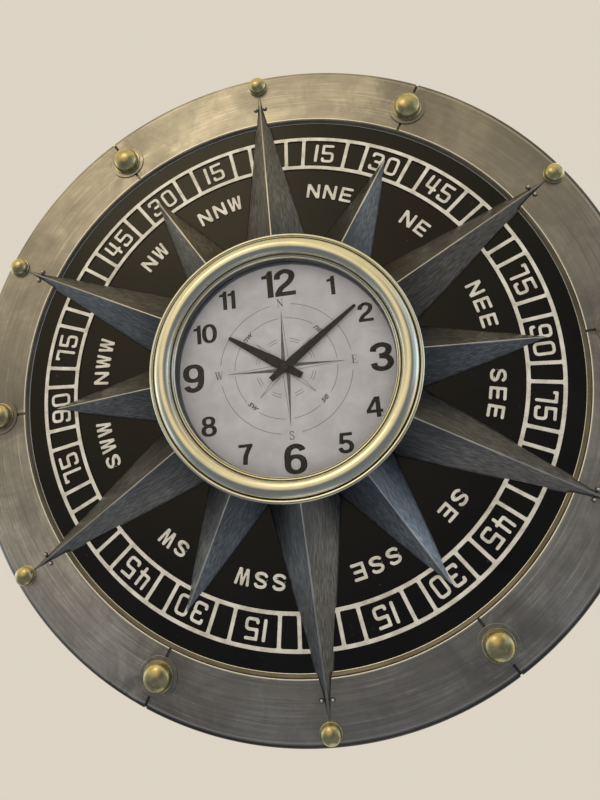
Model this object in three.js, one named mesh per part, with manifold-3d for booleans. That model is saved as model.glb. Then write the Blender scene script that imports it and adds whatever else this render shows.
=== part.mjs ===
// A large round wall clock dressed as a metal compass: a rim of six brushed segments held by domed
// studs, a black dial plate with a raised scale, a twelve-pointed star of folded rays, and a framed
// quartz clock in the middle. Millimetres. The finished group has +Z up and its front towards -Y,
// with its origin on the back of the hanger, where the clock meets the wall.
//
// Everything is built in the clock's own frame, seen from the front: x to the right, y up, and z
// towards the viewer, with zero at the centre and at the front plane of the rim. The group at the
// end turns that frame upright. Angles on the dial run clockwise from the top, in degrees.
import * as THREE from "three";
import { mergeVertices } from "three/addons/utils/BufferGeometryUtils.js";
import Module from "manifold-3d";

const wasm = await Module();
wasm.setup();

// Clearances
const GAP = 0.3; // between pieces that touch
const FIT = 0.12; // between a shaft and its hole, and between a hand and its collar
const RUN = 0.09; // between a turning piece and what it runs in

// Roundness
const BIG_SIDES = 60; // rim, plate and scale: a multiple of 12, so that turned copies line up
const CLOCK_SIDES = 36; // the clock in the middle, also a multiple of 12
const SMALL_SIDES = 12; // posts and turned small pieces
const STUD_SIDES = 10; // studs, and their holes

// Driving sizes
const RIM_OUTER_R = 400;
const BEZEL_R = 151;

// Where the clock hangs
const WALL_DEPTH = 20; // wall to the front plane of the rim
const HANGER_INSET = 160; // its origin inside the rim's outer edge
const HANGER_HEIGHT = RIM_OUTER_R - HANGER_INSET; // and above the centre
const HANGER_WIDTH = 60;
const HANGER_ABOVE = 30; // the hanger's face above the origin
const HANGER_BELOW = 22; // and below it
const HANGER_SHEET = 1.6;
const HANGER_FOOT = 13; // length of each foot on the plate
const KEYHOLE_HEAD_R = 5; // room for the screw's head
const KEYHOLE_SLOT_R = 2.4;
const KEYHOLE_RISE = 10; // head hole above the origin
const KEYHOLE_LENGTH = 12; // head hole to the top of the slot
const BUMPER_R = 9;
const BUMPER_TIP_R = 7;
const BUMPER_TIP = 3; // height of its narrow end
const BUMPER_INSET = 100; // its centre inside the rim's outer edge
const BUMPER_ANGLE = 30; // either side of the bottom

// Rim of six segments
const SEGMENTS = 6;
const RIM_SHEET = 1.2;
const RIM_FLANGE = 18; // depth of the turned-back edge
const RIM_CORNER_R = 3.6;
const RIM_SEAM = 2.4; // slit between two segments
const RIM_WIDTH = 69; // outer edge to the lip inside it

// Ledge ring: the backing under the rim, whose sloping lip shows inside it
const LEDGE_LIP_R = RIM_OUTER_R - RIM_WIDTH; // outside of the lip
const LEDGE_LIP = 5; // width of the lip
const LEDGE_LIP_FLAT = 0.9;
const LEDGE_LIP_DROP = 0.2; // below the rim's front
const LEDGE_SHEET = 0.8;
const LEDGE_INNER_R = LEDGE_LIP_R - LEDGE_LIP;

// Dial plate, cut to the same circle as the ledge ring
const PLATE_INSET = 8; // its edge inside the rim's outer edge
const PLATE_R = RIM_OUTER_R - PLATE_INSET;
const PLATE_SHEET = 1.5;
const ACCESS_R = 62; // hole behind the movement

// Raised scale
const SCALE_INSET = 19.7; // its outer circle inside the lip
const SCALE_WIDTH = 43.4;
const SCALE_OUTER_R = LEDGE_INNER_R - SCALE_INSET;
const SCALE_INNER_R = SCALE_OUTER_R - SCALE_WIDTH;
const SCALE_LINE = 5; // width of its two circles
const SCALE_BAR = 5.4; // width of its bars
const SCALE_HALF_CELL = 5.3; // bars stand this many degrees either side of each number
const SCALE_HALF_ZERO = 4.5; // and less at the two zeros, which have one digit
const SCALE_CELLS_PER_HALF = 12;
// The scale was laid out by hand: how far each cell lies from its even place, clockwise, in degrees
const SCALE_SHIFTS = [
  0.7, -0.1, 0.3, 0.5, 0.7, 0.5, 0.5, 0.4, 0.2, 0.2, 0.3, 0.4,
  -0.1, -0.9, -0.6, -0.4, -0.1, 0, 0.1, 0.4, 0.4, 0.5, 0.8, 1.1,
];
const SCALE_SHEET = 1.4;

// Studs: a dome on a flat seat, with a shank through the rim and the plate
const BIG_STUD_INSET = 36.7; // centre inside the rim's outer edge
const SMALL_STUD_INSET = 15;
const BIG_STUD = {
  circleR: RIM_OUTER_R - BIG_STUD_INSET,
  domeR: 15.5,
  domeBase: 4.6,
  domeTop: 14.2,
  seatR: 22,
  seat: 0.9,
  collarR: 17,
  shankR: 3,
  tailR: 5.5,
  tail: 2,
};
const SMALL_STUD = {
  circleR: RIM_OUTER_R - SMALL_STUD_INSET,
  domeR: 10.8,
  domeBase: 3.2,
  domeTop: 10.2,
  seatR: 12,
  seat: 0.7,
  collarR: 11.4,
  shankR: 2.4,
  tailR: 4.2,
  tail: 2,
};

// Drum and bezel of the clock in the middle
const BEZEL_WIDTH = 29;
const BEZEL_BEAD_R = 3.6; // width of the bead
const BEZEL_CREST_INSET = 11;
const BEZEL_OVERHANG = 3; // past the drum's rim
const BEZEL_CREST_R = BEZEL_R - BEZEL_CREST_INSET;
const BEZEL_SIGHT_R = BEZEL_R - BEZEL_WIDTH;
const BEZEL_FOLD = 6.5; // the fine ridge stands this far outside the inner edge
const BEZEL_FOLD_RISE = 6.6; // and this far above it
const BEZEL_LIP = 1.3; // depth of the inner edge over the glass
const BEZEL_SHEET = 1.4;
const DRUM_TOP = 43;
const DRUM_SHEET = 1.1;
const DRUM_RIM = 5; // width of the rim under the bezel
const DRUM_RIM_R = BEZEL_R - BEZEL_OVERHANG;
const DRUM_R = DRUM_RIM_R - DRUM_RIM;
const DIAL_LEDGE = 11; // width of the ledge that carries the dial
const BEZEL_BEAD_RISE = 9.6; // middle of the bead above the drum's rim
const BEZEL_CREST_RISE = 17; // crest above the drum's rim
const BEZEL_SIGHT_DROP = 0.2; // inner edge below the drum's rim
const BEZEL_BEAD = DRUM_TOP + BEZEL_BEAD_RISE;
const BEZEL_CREST = DRUM_TOP + BEZEL_CREST_RISE;
const BEZEL_SIGHT = DRUM_TOP - BEZEL_SIGHT_DROP;
const DIAL_DEPTH = 10.5; // dial below the drum's rim
const DIAL_FRONT = DRUM_TOP - DIAL_DEPTH;
const DIAL_SHEET = 0.8;
const DIAL_MARGIN = 1.9; // round the dial, inside the drum
const DIAL_R = DRUM_R - DRUM_SHEET - DIAL_MARGIN;
const GLASS_SHEET = 2;
const GLASS_OVERLAP = 4; // of the glass under the bezel's inner edge
const GLASS_R = BEZEL_SIGHT_R + GLASS_OVERLAP;
const SIGHT_RING_WALL = 3.2;

// Rays: folded sheet. Each ridge runs down from a height near the drum to the ray's tip
const RAY_SHEET = 1.2;
const RAY_START = 0.7 * DRUM_R; // where a fold is drawn from, inside the drum that cuts it short
const RIDGE_OUT = 15; // from the drum to where the ridge's height is measured
const WIDTH_OUT = 23; // from the drum to where the half width is measured
const RIDGE_R = DRUM_R + RIDGE_OUT;
const WIDTH_R = DRUM_R + WIDTH_OUT;
const TIP_TO_SEAT = 2.5; // long ray's tip to the small stud's seat
const TIP_IN_SCALE = 14.8; // short ray's tip inside the scale's outer circle
const LONG_RAY = {
  tipR: SMALL_STUD.circleR - SMALL_STUD.seatR - TIP_TO_SEAT,
  ridge: 34,
  halfWidth: 38,
};
const SHORT_RAY = { tipR: SCALE_OUTER_R - TIP_IN_SCALE, ridge: 31, halfWidth: 33 };

// Movement
const MOVEMENT_SIZE = 56;
const MOVEMENT_CORNER_R = 3;
const MOVEMENT_DEPTH = 16;
const MOVEMENT_WALL = 1.4;
const COVER_SHEET = 1.4;
const BATTERY_R = 7.1;
const BATTERY_LENGTH = 49.2;
const BATTERY_NUB_R = 2.7;
const BATTERY_NUB = 1.2;
const BATTERY_ROOM = 0.5; // between the battery and its bay
const CONTACT_SHEET = 0.4;
const CONTACT_WIDTH = 9;
const CONTACT_FOOT = 5; // width of the foot that meets the battery
const CONTACT_FOOT_SHEET = 2;
const CONTACT_RISE = 1; // above the case's open back
const BAY_WALL = 1;
const GASKET_R = 9;
const GASKET_SHEET = 0.8;
const BUSH_R = 4;
const BUSH_TOP = 1.7; // above the dial
const NUT_FLATS = 11;
const NUT_SHEET = 1.2;
const COIL_R = 3.6;
const COIL_CHEEK_R = 4.6;
const COIL_LENGTH = 16;
const COIL_CHEEK = 1;
const BOARD_SHEET = 1;
const BOARD_WIDTH = 20;
const BOARD_HEIGHT = 10;

// Gears: the minute shaft drives the motion wheel, and its pinion drives the hour wheel
const MODULE = 0.6;
const CANNON_TEETH = 10;
const MOTION_TEETH = 30;
const MOTION_PINION_TEETH = 8;
const HOUR_TEETH = 32;
const KNOB_TEETH = 10;
const GEAR_WIDTH = 2.4;
const GEAR_SPACE = 1; // between the two layers of gears
const GEAR_RISE = 2.4; // first layer of gears above the cover
const TOOTH_TIP = 0.8; // above the pitch circle, in modules
const TOOTH_ROOT = 1.1; // below it
const TOOTH_TIP_HALF = 0.09; // half widths, in pitches
const TOOTH_ROOT_HALF = 0.27;
const MOTION_DIRECTION = 300; // from the minute shaft, on the dial
const KNOB_DIRECTION = 60; // from the motion wheel, on the dial
const MINUTE_SHAFT_R = 1.5;
const ARBOR_R = 1.1;
const TUBE_WALL = 0.7; // of the hour wheel's tube
const BOSS_WALL = 1.6;
const BOSS_LENGTH = 3.5;
const KNOB_R = 6;
const KNOB_THICK = 3.5;
const KNOB_GRIPS = 12;
const KNOB_GRIP = 0.5; // depth of its grips

// Hands, set to nine minutes past ten
const MINUTE_ANGLE = 55.4;
const HOUR_ANGLE = 305.5;
const HAND_SHEET = 0.6;
const MINUTE_HAND = { length: 104, tail: 21.5, width: 10.4, tipR: 1.8, tailWidth: 6.4, widest: 13 };
const HOUR_HAND = { length: 75, tail: 21, width: 12, tipR: 2.2, tailWidth: 7.4, widest: 13 };
const HAND_STEP = 0.9; // between the two hands
const CAP_R = 4.2;
const CAP_THICK = 1.6;
const CAP_FLAT_R = 2.5;

// Levels that follow, from the wall outwards
const WALL = -WALL_DEPTH;
const LEDGE_TOP = -RIM_SHEET - GAP;
const LEDGE_BACK = LEDGE_TOP - LEDGE_SHEET;
const PLATE_FRONT = LEDGE_BACK - GAP;
const PLATE_BACK = PLATE_FRONT - PLATE_SHEET;
const ON_PLATE = PLATE_FRONT + GAP;
const SCALE_TOP = ON_PLATE + SCALE_SHEET;
const DIAL_BACK = DIAL_FRONT - DIAL_SHEET;
const SIGHT_LIP = BEZEL_SIGHT - BEZEL_LIP;
const GLASS_TOP = SIGHT_LIP - GAP;
const GLASS_BACK = GLASS_TOP - GLASS_SHEET;
const MOVEMENT_FRONT = DIAL_BACK - GASKET_SHEET - 2 * GAP;
const MOVEMENT_INNER = MOVEMENT_FRONT - MOVEMENT_WALL;
const MOVEMENT_BACK = MOVEMENT_FRONT - MOVEMENT_DEPTH;
const COVER_FRONT = MOVEMENT_BACK - GAP;
const COVER_BACK = COVER_FRONT - COVER_SHEET;
const FIRST_GEARS = COVER_FRONT + GEAR_RISE;
const SECOND_GEARS = FIRST_GEARS + GEAR_WIDTH + GEAR_SPACE;
const ARBOR_TOP = MOVEMENT_INNER - RUN;
const BUSH_FRONT = DIAL_FRONT + BUSH_TOP;
const HOUR_HAND_BACK = BUSH_FRONT + GAP;
const MINUTE_HAND_BACK = HOUR_HAND_BACK + HAND_SHEET + HAND_STEP;
const CAP_BACK = MINUTE_HAND_BACK + HAND_SHEET + GAP;
const SHAFT_TOP = CAP_BACK + CAP_THICK - 2 * GAP;

const degrees = Math.PI / 180;

// Point at a distance and a clock angle, seen from the front
function dial(r, angle) {
  return new THREE.Vector2(r * Math.sin(angle * degrees), r * Math.cos(angle * degrees));
}

// Closed geometry as a manifold-3d solid
function solid(geometry) {
  const bare = geometry.index ? geometry.toNonIndexed() : geometry.clone();
  bare.deleteAttribute("normal");
  bare.deleteAttribute("uv");
  const merged = mergeVertices(bare, 1e-4);
  const corners = [];
  for (let i = 0; i < merged.index.count; i += 3) {
    const [a, b, c] = [0, 1, 2].map((k) => merged.index.getX(i + k));
    if (a !== b && b !== c && c !== a) corners.push(a, b, c);
  }
  const mesh = new wasm.Mesh({
    numProp: 3,
    vertProperties: new Float32Array(merged.attributes.position.array),
    triVerts: new Uint32Array(corners),
  });
  return new wasm.Manifold(mesh);
}

// Back from a solid to a three.js geometry
function geometryOf(body) {
  const mesh = body.getMesh();
  const geometry = new THREE.BufferGeometry();
  const positions = new Float32Array(mesh.numVert * 3);
  for (let i = 0; i < mesh.numVert; i++) {
    for (let k = 0; k < 3; k++) positions[3 * i + k] = mesh.vertProperties[mesh.numProp * i + k];
  }
  geometry.setAttribute("position", new THREE.BufferAttribute(positions, 3));
  geometry.setIndex(new THREE.BufferAttribute(new Uint32Array(mesh.triVerts), 1));
  geometry.computeVertexNormals();
  return geometry;
}

// Solid of revolution about the clock's axis, from a profile of [radius, height] in order
function turned(profile, sides) {
  const points = profile.map(([r, h]) => new THREE.Vector2(r, h));
  if (THREE.ShapeUtils.area(points) < 0) points.reverse();
  const first = points[0];
  const onAxis = first.x === 0 && points[points.length - 1].x === 0;
  if (!onAxis) points.push(first.clone());
  const geometry = new THREE.LatheGeometry(points, sides);
  geometry.rotateX(Math.PI / 2);
  return solid(geometry);
}

// Ring of rectangular section
function ring(innerR, outerR, back, front, sides) {
  const section = [
    [innerR, back],
    [outerR, back],
    [outerR, front],
    [innerR, front],
  ];
  return turned(section, sides);
}

// Round post along the clock's axis
function post(r, back, front, sides = SMALL_SIDES, x = 0, y = 0) {
  const geometry = new THREE.CylinderGeometry(r, r, front - back, sides);
  geometry.rotateX(Math.PI / 2);
  geometry.translate(x, y, (front + back) / 2);
  return solid(geometry);
}

// Block between two corners
function block(x0, x1, y0, y1, z0, z1) {
  const geometry = new THREE.BoxGeometry(x1 - x0, y1 - y0, z1 - z0);
  geometry.translate((x0 + x1) / 2, (y0 + y1) / 2, (z0 + z1) / 2);
  return solid(geometry);
}

// Flat piece cut to a shape. A full or part circle in the shape gets two sides for each curve segment
function sheet(shape, back, front, curveSegments = SMALL_SIDES) {
  const options = { depth: front - back, bevelEnabled: false, curveSegments };
  const geometry = new THREE.ExtrudeGeometry(shape, options);
  geometry.translate(0, 0, back);
  return solid(geometry);
}

// Wedge of the dial, centred on the top, whose sides stand half a gap inside the sector
function sector(halfAngle, gap, back, front) {
  const far = 2 * RIM_OUTER_R;
  const start = gap / 2 / Math.sin(halfAngle * degrees);
  const corner = dial(far, halfAngle);
  const outline = new THREE.Shape([
    new THREE.Vector2(0, start),
    new THREE.Vector2(corner.x, corner.y + start),
    new THREE.Vector2(-corner.x, corner.y + start),
  ]);
  return sheet(outline, back, front);
}

function bothStudHoles(body, back, front) {
  let drilled = body;
  for (let i = 0; i < SEGMENTS; i++) {
    const step = 360 / SEGMENTS;
    const small = dial(SMALL_STUD.circleR, i * step);
    const big = dial(BIG_STUD.circleR, (i + 0.5) * step);
    drilled = drilled
      .subtract(post(SMALL_STUD.shankR + GAP, back, front, STUD_SIDES, small.x, small.y))
      .subtract(post(BIG_STUD.shankR + GAP, back, front, STUD_SIDES, big.x, big.y));
  }
  return drilled;
}

// Rim segment: flat sheet with a rounded outer edge turned back towards the wall
function rimSegment() {
  const inner = LEDGE_LIP_R + GAP;
  const bend = RIM_OUTER_R - RIM_CORNER_R;
  const cornerSteps = 2;
  const profile = [
    [inner, -RIM_SHEET],
    [inner, 0],
  ];
  for (let i = 0; i <= cornerSteps; i++) {
    const a = (i / cornerSteps) * 90 * degrees;
    profile.push([bend + RIM_CORNER_R * Math.sin(a), RIM_CORNER_R * (Math.cos(a) - 1)]);
  }
  profile.push([RIM_OUTER_R, -RIM_FLANGE], [RIM_OUTER_R - RIM_SHEET, -RIM_FLANGE]);
  for (let i = cornerSteps; i >= 0; i--) {
    const a = (i / cornerSteps) * 90 * degrees;
    const r = RIM_CORNER_R - RIM_SHEET;
    profile.push([bend + r * Math.sin(a), r * Math.cos(a) - RIM_CORNER_R]);
  }
  const whole = bothStudHoles(turned(profile, BIG_SIDES), LEDGE_BACK, GAP);
  return whole.intersect(sector(180 / SEGMENTS, RIM_SEAM, WALL, GAP));
}

// Ledge ring: flat backing with a lip that slopes down from the rim to the plate
function ledgeRing() {
  const lipTop = -LEDGE_LIP_DROP;
  const profile = [
    [LEDGE_INNER_R, LEDGE_BACK],
    [PLATE_R, LEDGE_BACK],
    [PLATE_R, LEDGE_TOP],
    [LEDGE_LIP_R, LEDGE_TOP],
    [LEDGE_LIP_R, lipTop],
    [LEDGE_LIP_R - LEDGE_LIP_FLAT, lipTop],
    [LEDGE_INNER_R, LEDGE_BACK + GAP],
  ];
  return bothStudHoles(turned(profile, BIG_SIDES), PLATE_FRONT, GAP);
}

function dialPlate() {
  const disc = ring(ACCESS_R, PLATE_R, PLATE_BACK, PLATE_FRONT, BIG_SIDES);
  return bothStudHoles(disc, PLATE_BACK - GAP, PLATE_FRONT + GAP);
}

// Scale: two circles joined by bars, which leave a wide cell at each number and a narrow one between
function scaleRing() {
  const outline = new THREE.Shape();
  outline.absarc(0, 0, SCALE_OUTER_R, 0, 2 * Math.PI, false);
  const hole = new THREE.Path();
  hole.absarc(0, 0, SCALE_INNER_R, 0, 2 * Math.PI, true);
  outline.holes.push(hole);
  const near = SCALE_INNER_R + SCALE_LINE;
  const far = SCALE_OUTER_R - SCALE_LINE;
  const cells = SCALE_SHIFTS.length;
  const halfBar = (r) => Math.asin(SCALE_BAR / 2 / r) / degrees;
  function cell(from, to, steps) {
    const points = [];
    for (let i = 0; i <= steps; i++) {
      const a = from + halfBar(far);
      points.push(dial(far, a + (i / steps) * (to - halfBar(far) - a)));
    }
    for (let i = steps; i >= 0; i--) {
      const a = from + halfBar(near);
      points.push(dial(near, a + (i / steps) * (to - halfBar(near) - a)));
    }
    outline.holes.push(new THREE.Path(points));
  }
  // Each cell is drawn with the narrow one after it
  function edges(i) {
    const middle = (i * 360) / cells + SCALE_SHIFTS[i % cells];
    const half = i % SCALE_CELLS_PER_HALF === 0 ? SCALE_HALF_ZERO : SCALE_HALF_CELL;
    return [middle - half, middle + half];
  }
  for (let i = 0; i < cells; i++) {
    const [start, end] = edges(i);
    cell(start, end, 3);
    cell(end, edges(i + 1)[0], 1);
  }
  return sheet(outline, ON_PLATE, SCALE_TOP, BIG_SIDES / 2);
}

// Ray: a folded sheet with a straight ridge. It stands on the plate, and is notched over the scale
// and, if it is long, over the rim, so its tip lies on whatever is under it there.
function ray({ tipR, ridge, halfWidth }, tipSeat) {
  const rise = (ridge - tipSeat) / (tipR - RIDGE_R);
  const endR = tipR + (tipSeat - ON_PLATE) / rise;
  const spread = halfWidth / (endR - WIDTH_R);
  function tent(startR, drop) {
    const across = spread * (endR - startR);
    const up = rise * (endR - startR);
    const corners = new Float32Array([
      0, endR, ON_PLATE - drop,
      -across, startR, ON_PLATE - drop,
      across, startR, ON_PLATE - drop,
      0, startR, ON_PLATE - drop + up,
    ]);
    const geometry = new THREE.BufferGeometry();
    geometry.setAttribute("position", new THREE.BufferAttribute(corners, 3));
    geometry.setIndex([0, 2, 1, 0, 1, 3, 0, 3, 2, 1, 2, 3]);
    return solid(geometry);
  }
  const drop = RAY_SHEET * Math.hypot(1, rise / spread);
  const below = ON_PLATE - GAP;
  return tent(RAY_START, 0)
    .subtract(tent(RAY_START - RAY_SHEET, drop))
    .subtract(ring(LEDGE_INNER_R - GAP, 2 * RIM_OUTER_R, below, GAP, BIG_SIDES))
    .subtract(ring(SCALE_INNER_R - GAP, SCALE_OUTER_R + GAP, below, SCALE_TOP + GAP, BIG_SIDES))
    .subtract(post(DRUM_R + GAP, WALL, BEZEL_CREST, CLOCK_SIDES))
    .intersect(sector(90 / SEGMENTS, GAP, WALL, BEZEL_CREST));
}

// Stud: dome, seat, shank and the riveted tail behind the plate
function stud({ domeR, domeBase, domeTop, seatR, seat, collarR, shankR, tailR, tail }) {
  const tailTop = PLATE_BACK - GAP;
  const profile = [
    [0, tailTop - tail],
    [tailR, tailTop - tail],
    [tailR, tailTop],
    [shankR, tailTop],
    [shankR, GAP],
    [seatR, GAP],
    [seatR, GAP + seat],
    [collarR, GAP + 1.5 * seat],
    [domeR, domeBase],
  ];
  const steps = 3;
  for (let i = 1; i < steps; i++) {
    const a = (i / steps) * 90 * degrees;
    profile.push([domeR * Math.cos(a), domeBase + (domeTop - domeBase) * Math.sin(a)]);
  }
  profile.push([0, domeTop]);
  return turned(profile, STUD_SIDES);
}

// Drum: a spun cup on the plate, with an inner ledge under the dial and a rim under the bezel
function drum() {
  const inner = DRUM_R - DRUM_SHEET;
  const ledgeTop = DIAL_BACK - GAP;
  const profile = [
    [ACCESS_R, ON_PLATE],
    [DRUM_R, ON_PLATE],
    [DRUM_R, DRUM_TOP - DRUM_SHEET],
    [DRUM_RIM_R, DRUM_TOP - DRUM_SHEET],
    [DRUM_RIM_R, DRUM_TOP],
    [inner, DRUM_TOP],
    [inner, ledgeTop],
    [inner - DIAL_LEDGE, ledgeTop],
    [inner - DIAL_LEDGE, ledgeTop - DRUM_SHEET],
    [inner, ledgeTop - DRUM_SHEET],
    [inner, ON_PLATE + DRUM_SHEET],
    [ACCESS_R, ON_PLATE + DRUM_SHEET],
  ];
  return turned(profile, CLOCK_SIDES);
}

// Bezel: spun sheet with an outer bead, a broad roll, a fine ridge and an edge over the glass
function bezel() {
  const seat = DRUM_TOP + GAP;
  const rollR = BEZEL_R - BEZEL_BEAD_R;
  const foldR = BEZEL_SIGHT_R + BEZEL_FOLD;
  const foldTop = BEZEL_SIGHT + BEZEL_FOLD_RISE;
  const profile = [
    [DRUM_RIM_R, seat],
    [BEZEL_R - 1, seat],
    [BEZEL_R, BEZEL_BEAD],
    [BEZEL_R - BEZEL_BEAD_R / 2, BEZEL_BEAD + BEZEL_BEAD_R / 2],
    [rollR, BEZEL_BEAD + BEZEL_BEAD_R / 4],
    [rollR - 1, BEZEL_CREST - BEZEL_BEAD_R],
    [BEZEL_CREST_R + 3, BEZEL_CREST - 0.7],
    [BEZEL_CREST_R, BEZEL_CREST],
    [BEZEL_CREST_R - 4, BEZEL_CREST - 1.2],
    [foldR, foldTop],
    [foldR - 1.2, foldTop + 0.5],
    [BEZEL_SIGHT_R + 2, BEZEL_SIGHT + 3],
    [BEZEL_SIGHT_R, BEZEL_SIGHT],
    [BEZEL_SIGHT_R, SIGHT_LIP],
    [GLASS_R + GAP, SIGHT_LIP],
    [foldR, foldTop - 2 * BEZEL_SHEET],
    [BEZEL_CREST_R, BEZEL_CREST - 2 * BEZEL_SHEET],
    [rollR - BEZEL_SHEET, BEZEL_BEAD - BEZEL_BEAD_R / 2],
    [DRUM_RIM_R - BEZEL_SHEET, seat],
  ];
  return turned(profile, CLOCK_SIDES);
}

// Block with rounded upright edges
function roundedBlock(size, r, back, front) {
  const h = size / 2;
  const shape = new THREE.Shape();
  shape.absarc(h - r, h - r, r, 0, Math.PI / 2, false);
  shape.absarc(r - h, h - r, r, Math.PI / 2, Math.PI, false);
  shape.absarc(r - h, r - h, r, Math.PI, 1.5 * Math.PI, false);
  shape.absarc(h - r, r - h, r, 1.5 * Math.PI, 2 * Math.PI, false);
  shape.closePath();
  return sheet(shape, back, front, 2);
}

// Gear outline with straight-sided teeth, turned so that one tooth points along an angle
function gear(teeth, toothAngle, back, front) {
  const tipR = MODULE * (teeth / 2 + TOOTH_TIP);
  const rootR = MODULE * (teeth / 2 - TOOTH_ROOT);
  const pitch = 360 / teeth;
  const points = [];
  for (let i = 0; i < teeth; i++) {
    const a = toothAngle + i * pitch;
    points.push(dial(rootR, a - TOOTH_ROOT_HALF * pitch), dial(tipR, a - TOOTH_TIP_HALF * pitch));
    points.push(dial(tipR, a + TOOTH_TIP_HALF * pitch), dial(rootR, a + TOOTH_ROOT_HALF * pitch));
  }
  return sheet(new THREE.Shape(points), back, front);
}

// Tooth angle of a gear that meshes with another, which has a tooth at one angle
function meshed(otherTeeth, otherTooth, direction, teeth) {
  const turns = (direction - otherTooth) / (360 / otherTeeth);
  const offset = turns - Math.floor(turns) - 0.5;
  return direction + 180 + (offset * 360) / teeth;
}

const MOTION_AT = dial((MODULE * (CANNON_TEETH + MOTION_TEETH)) / 2, MOTION_DIRECTION);
const KNOB_AT = MOTION_AT.clone().add(
  dial((MODULE * (MOTION_TEETH + KNOB_TEETH)) / 2, KNOB_DIRECTION),
);
const CANNON_TOOTH = 0;
const MOTION_TOOTH = meshed(CANNON_TEETH, CANNON_TOOTH, MOTION_DIRECTION, MOTION_TEETH);
const KNOB_TOOTH = meshed(MOTION_TEETH, MOTION_TOOTH, KNOB_DIRECTION, KNOB_TEETH);
const HOUR_TOOTH = meshed(
  MOTION_PINION_TEETH,
  MOTION_TOOTH,
  MOTION_DIRECTION + 180,
  HOUR_TEETH,
);
const HOUR_WHEEL_R = MODULE * (HOUR_TEETH / 2 + TOOTH_TIP);
const TUBE_BORE_R = MINUTE_SHAFT_R + RUN;
const TUBE_R = TUBE_BORE_R + TUBE_WALL;
const HALF = MOVEMENT_SIZE / 2;
const INSIDE = HALF - MOVEMENT_WALL;
const GEAR_FLOOR = -HOUR_WHEEL_R - GAP; // the wheels' room ends here, above the battery bay
const BAY_TOP = GEAR_FLOOR - BAY_WALL;
const BATTERY_Y = (BAY_TOP - INSIDE) / 2;
const BATTERY_Z = MOVEMENT_INNER - BATTERY_R - BATTERY_ROOM;

// Movement case: a box open at the back, with a room for the wheels and a bay for the battery
function movementCase() {
  const shell = roundedBlock(MOVEMENT_SIZE, MOVEMENT_CORNER_R, MOVEMENT_BACK, MOVEMENT_FRONT);
  const open = MOVEMENT_BACK - GAP;
  let body = shell
    .subtract(block(-INSIDE, INSIDE, GEAR_FLOOR, INSIDE, open, MOVEMENT_INNER))
    .subtract(block(-INSIDE, INSIDE, -INSIDE, BAY_TOP, open, MOVEMENT_INNER))
    .add(post(BUSH_R, MOVEMENT_INNER, BUSH_FRONT, 2 * SMALL_SIDES));
  for (const at of [MOTION_AT, KNOB_AT]) {
    const bossR = ARBOR_R + RUN + BOSS_WALL;
    const bossBack = MOVEMENT_INNER - BOSS_LENGTH;
    body = body
      .add(post(bossR, bossBack, MOVEMENT_FRONT - GAP, SMALL_SIDES, at.x, at.y))
      .subtract(post(ARBOR_R + RUN, bossBack - GAP, MOVEMENT_INNER, SMALL_SIDES, at.x, at.y));
  }
  return body.subtract(post(TUBE_R + RUN, open, BUSH_FRONT + GAP, 2 * SMALL_SIDES));
}

// Cover over the wheels, drilled for the minute shaft, the motion wheel's arbor and the knob
function movementCover() {
  const shell = roundedBlock(MOVEMENT_SIZE, MOVEMENT_CORNER_R, COVER_BACK, COVER_FRONT);
  const open = COVER_BACK - GAP;
  return shell
    .subtract(block(-HALF - GAP, HALF + GAP, -HALF - GAP, BAY_TOP, open, MOVEMENT_BACK))
    .subtract(post(MINUTE_SHAFT_R + RUN, open, MOVEMENT_BACK))
    .subtract(post(ARBOR_R + RUN, open, MOVEMENT_BACK, SMALL_SIDES, MOTION_AT.x, MOTION_AT.y))
    .subtract(post(ARBOR_R + RUN, open, MOVEMENT_BACK, SMALL_SIDES, KNOB_AT.x, KNOB_AT.y));
}

function battery() {
  const profile = [
    [0, -BATTERY_LENGTH / 2],
    [BATTERY_R, -BATTERY_LENGTH / 2],
    [BATTERY_R, BATTERY_LENGTH / 2 - BATTERY_NUB],
    [BATTERY_NUB_R, BATTERY_LENGTH / 2 - BATTERY_NUB],
    [BATTERY_NUB_R, BATTERY_LENGTH / 2],
    [0, BATTERY_LENGTH / 2],
  ];
  return turned(profile, SMALL_SIDES);
}

// Battery contact: a strip against the end of the bay, with its foot folded under the battery's end
function batteryContact(side) {
  const wall = side * (INSIDE - GAP);
  const face = wall - side * CONTACT_SHEET;
  const foot = side * (BATTERY_LENGTH / 2 + GAP);
  const [x0, x1] = [Math.min(wall, face), Math.max(wall, face)];
  const [f0, f1] = [Math.min(face, foot), Math.max(face, foot)];
  const y0 = BATTERY_Y - CONTACT_WIDTH / 2;
  const y1 = BATTERY_Y + CONTACT_WIDTH / 2;
  const strip = block(x0, x1, y0, y1, MOVEMENT_BACK + CONTACT_RISE, MOVEMENT_INNER - GAP);
  const footY = CONTACT_FOOT / 2;
  const footZ = CONTACT_FOOT_SHEET / 2;
  const bite = CONTACT_SHEET / 2; // the foot starts inside the strip
  const [a0, a1] = side > 0 ? [f0, f1 + bite] : [f0 - bite, f1];
  return strip.add(
    block(a0, a1, BATTERY_Y - footY, BATTERY_Y + footY, BATTERY_Z - footZ, BATTERY_Z + footZ),
  );
}

function hexNut() {
  const outline = new THREE.Shape();
  const cornerR = NUT_FLATS / 2 / Math.cos(30 * degrees);
  outline.setFromPoints([0, 1, 2, 3, 4, 5].map((i) => dial(cornerR, -60 * i)));
  const back = DIAL_FRONT + GAP;
  return sheet(outline, back, back + NUT_SHEET).subtract(
    post(BUSH_R + FIT, back - GAP, back + NUT_SHEET + GAP, 2 * SMALL_SIDES),
  );
}

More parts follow.
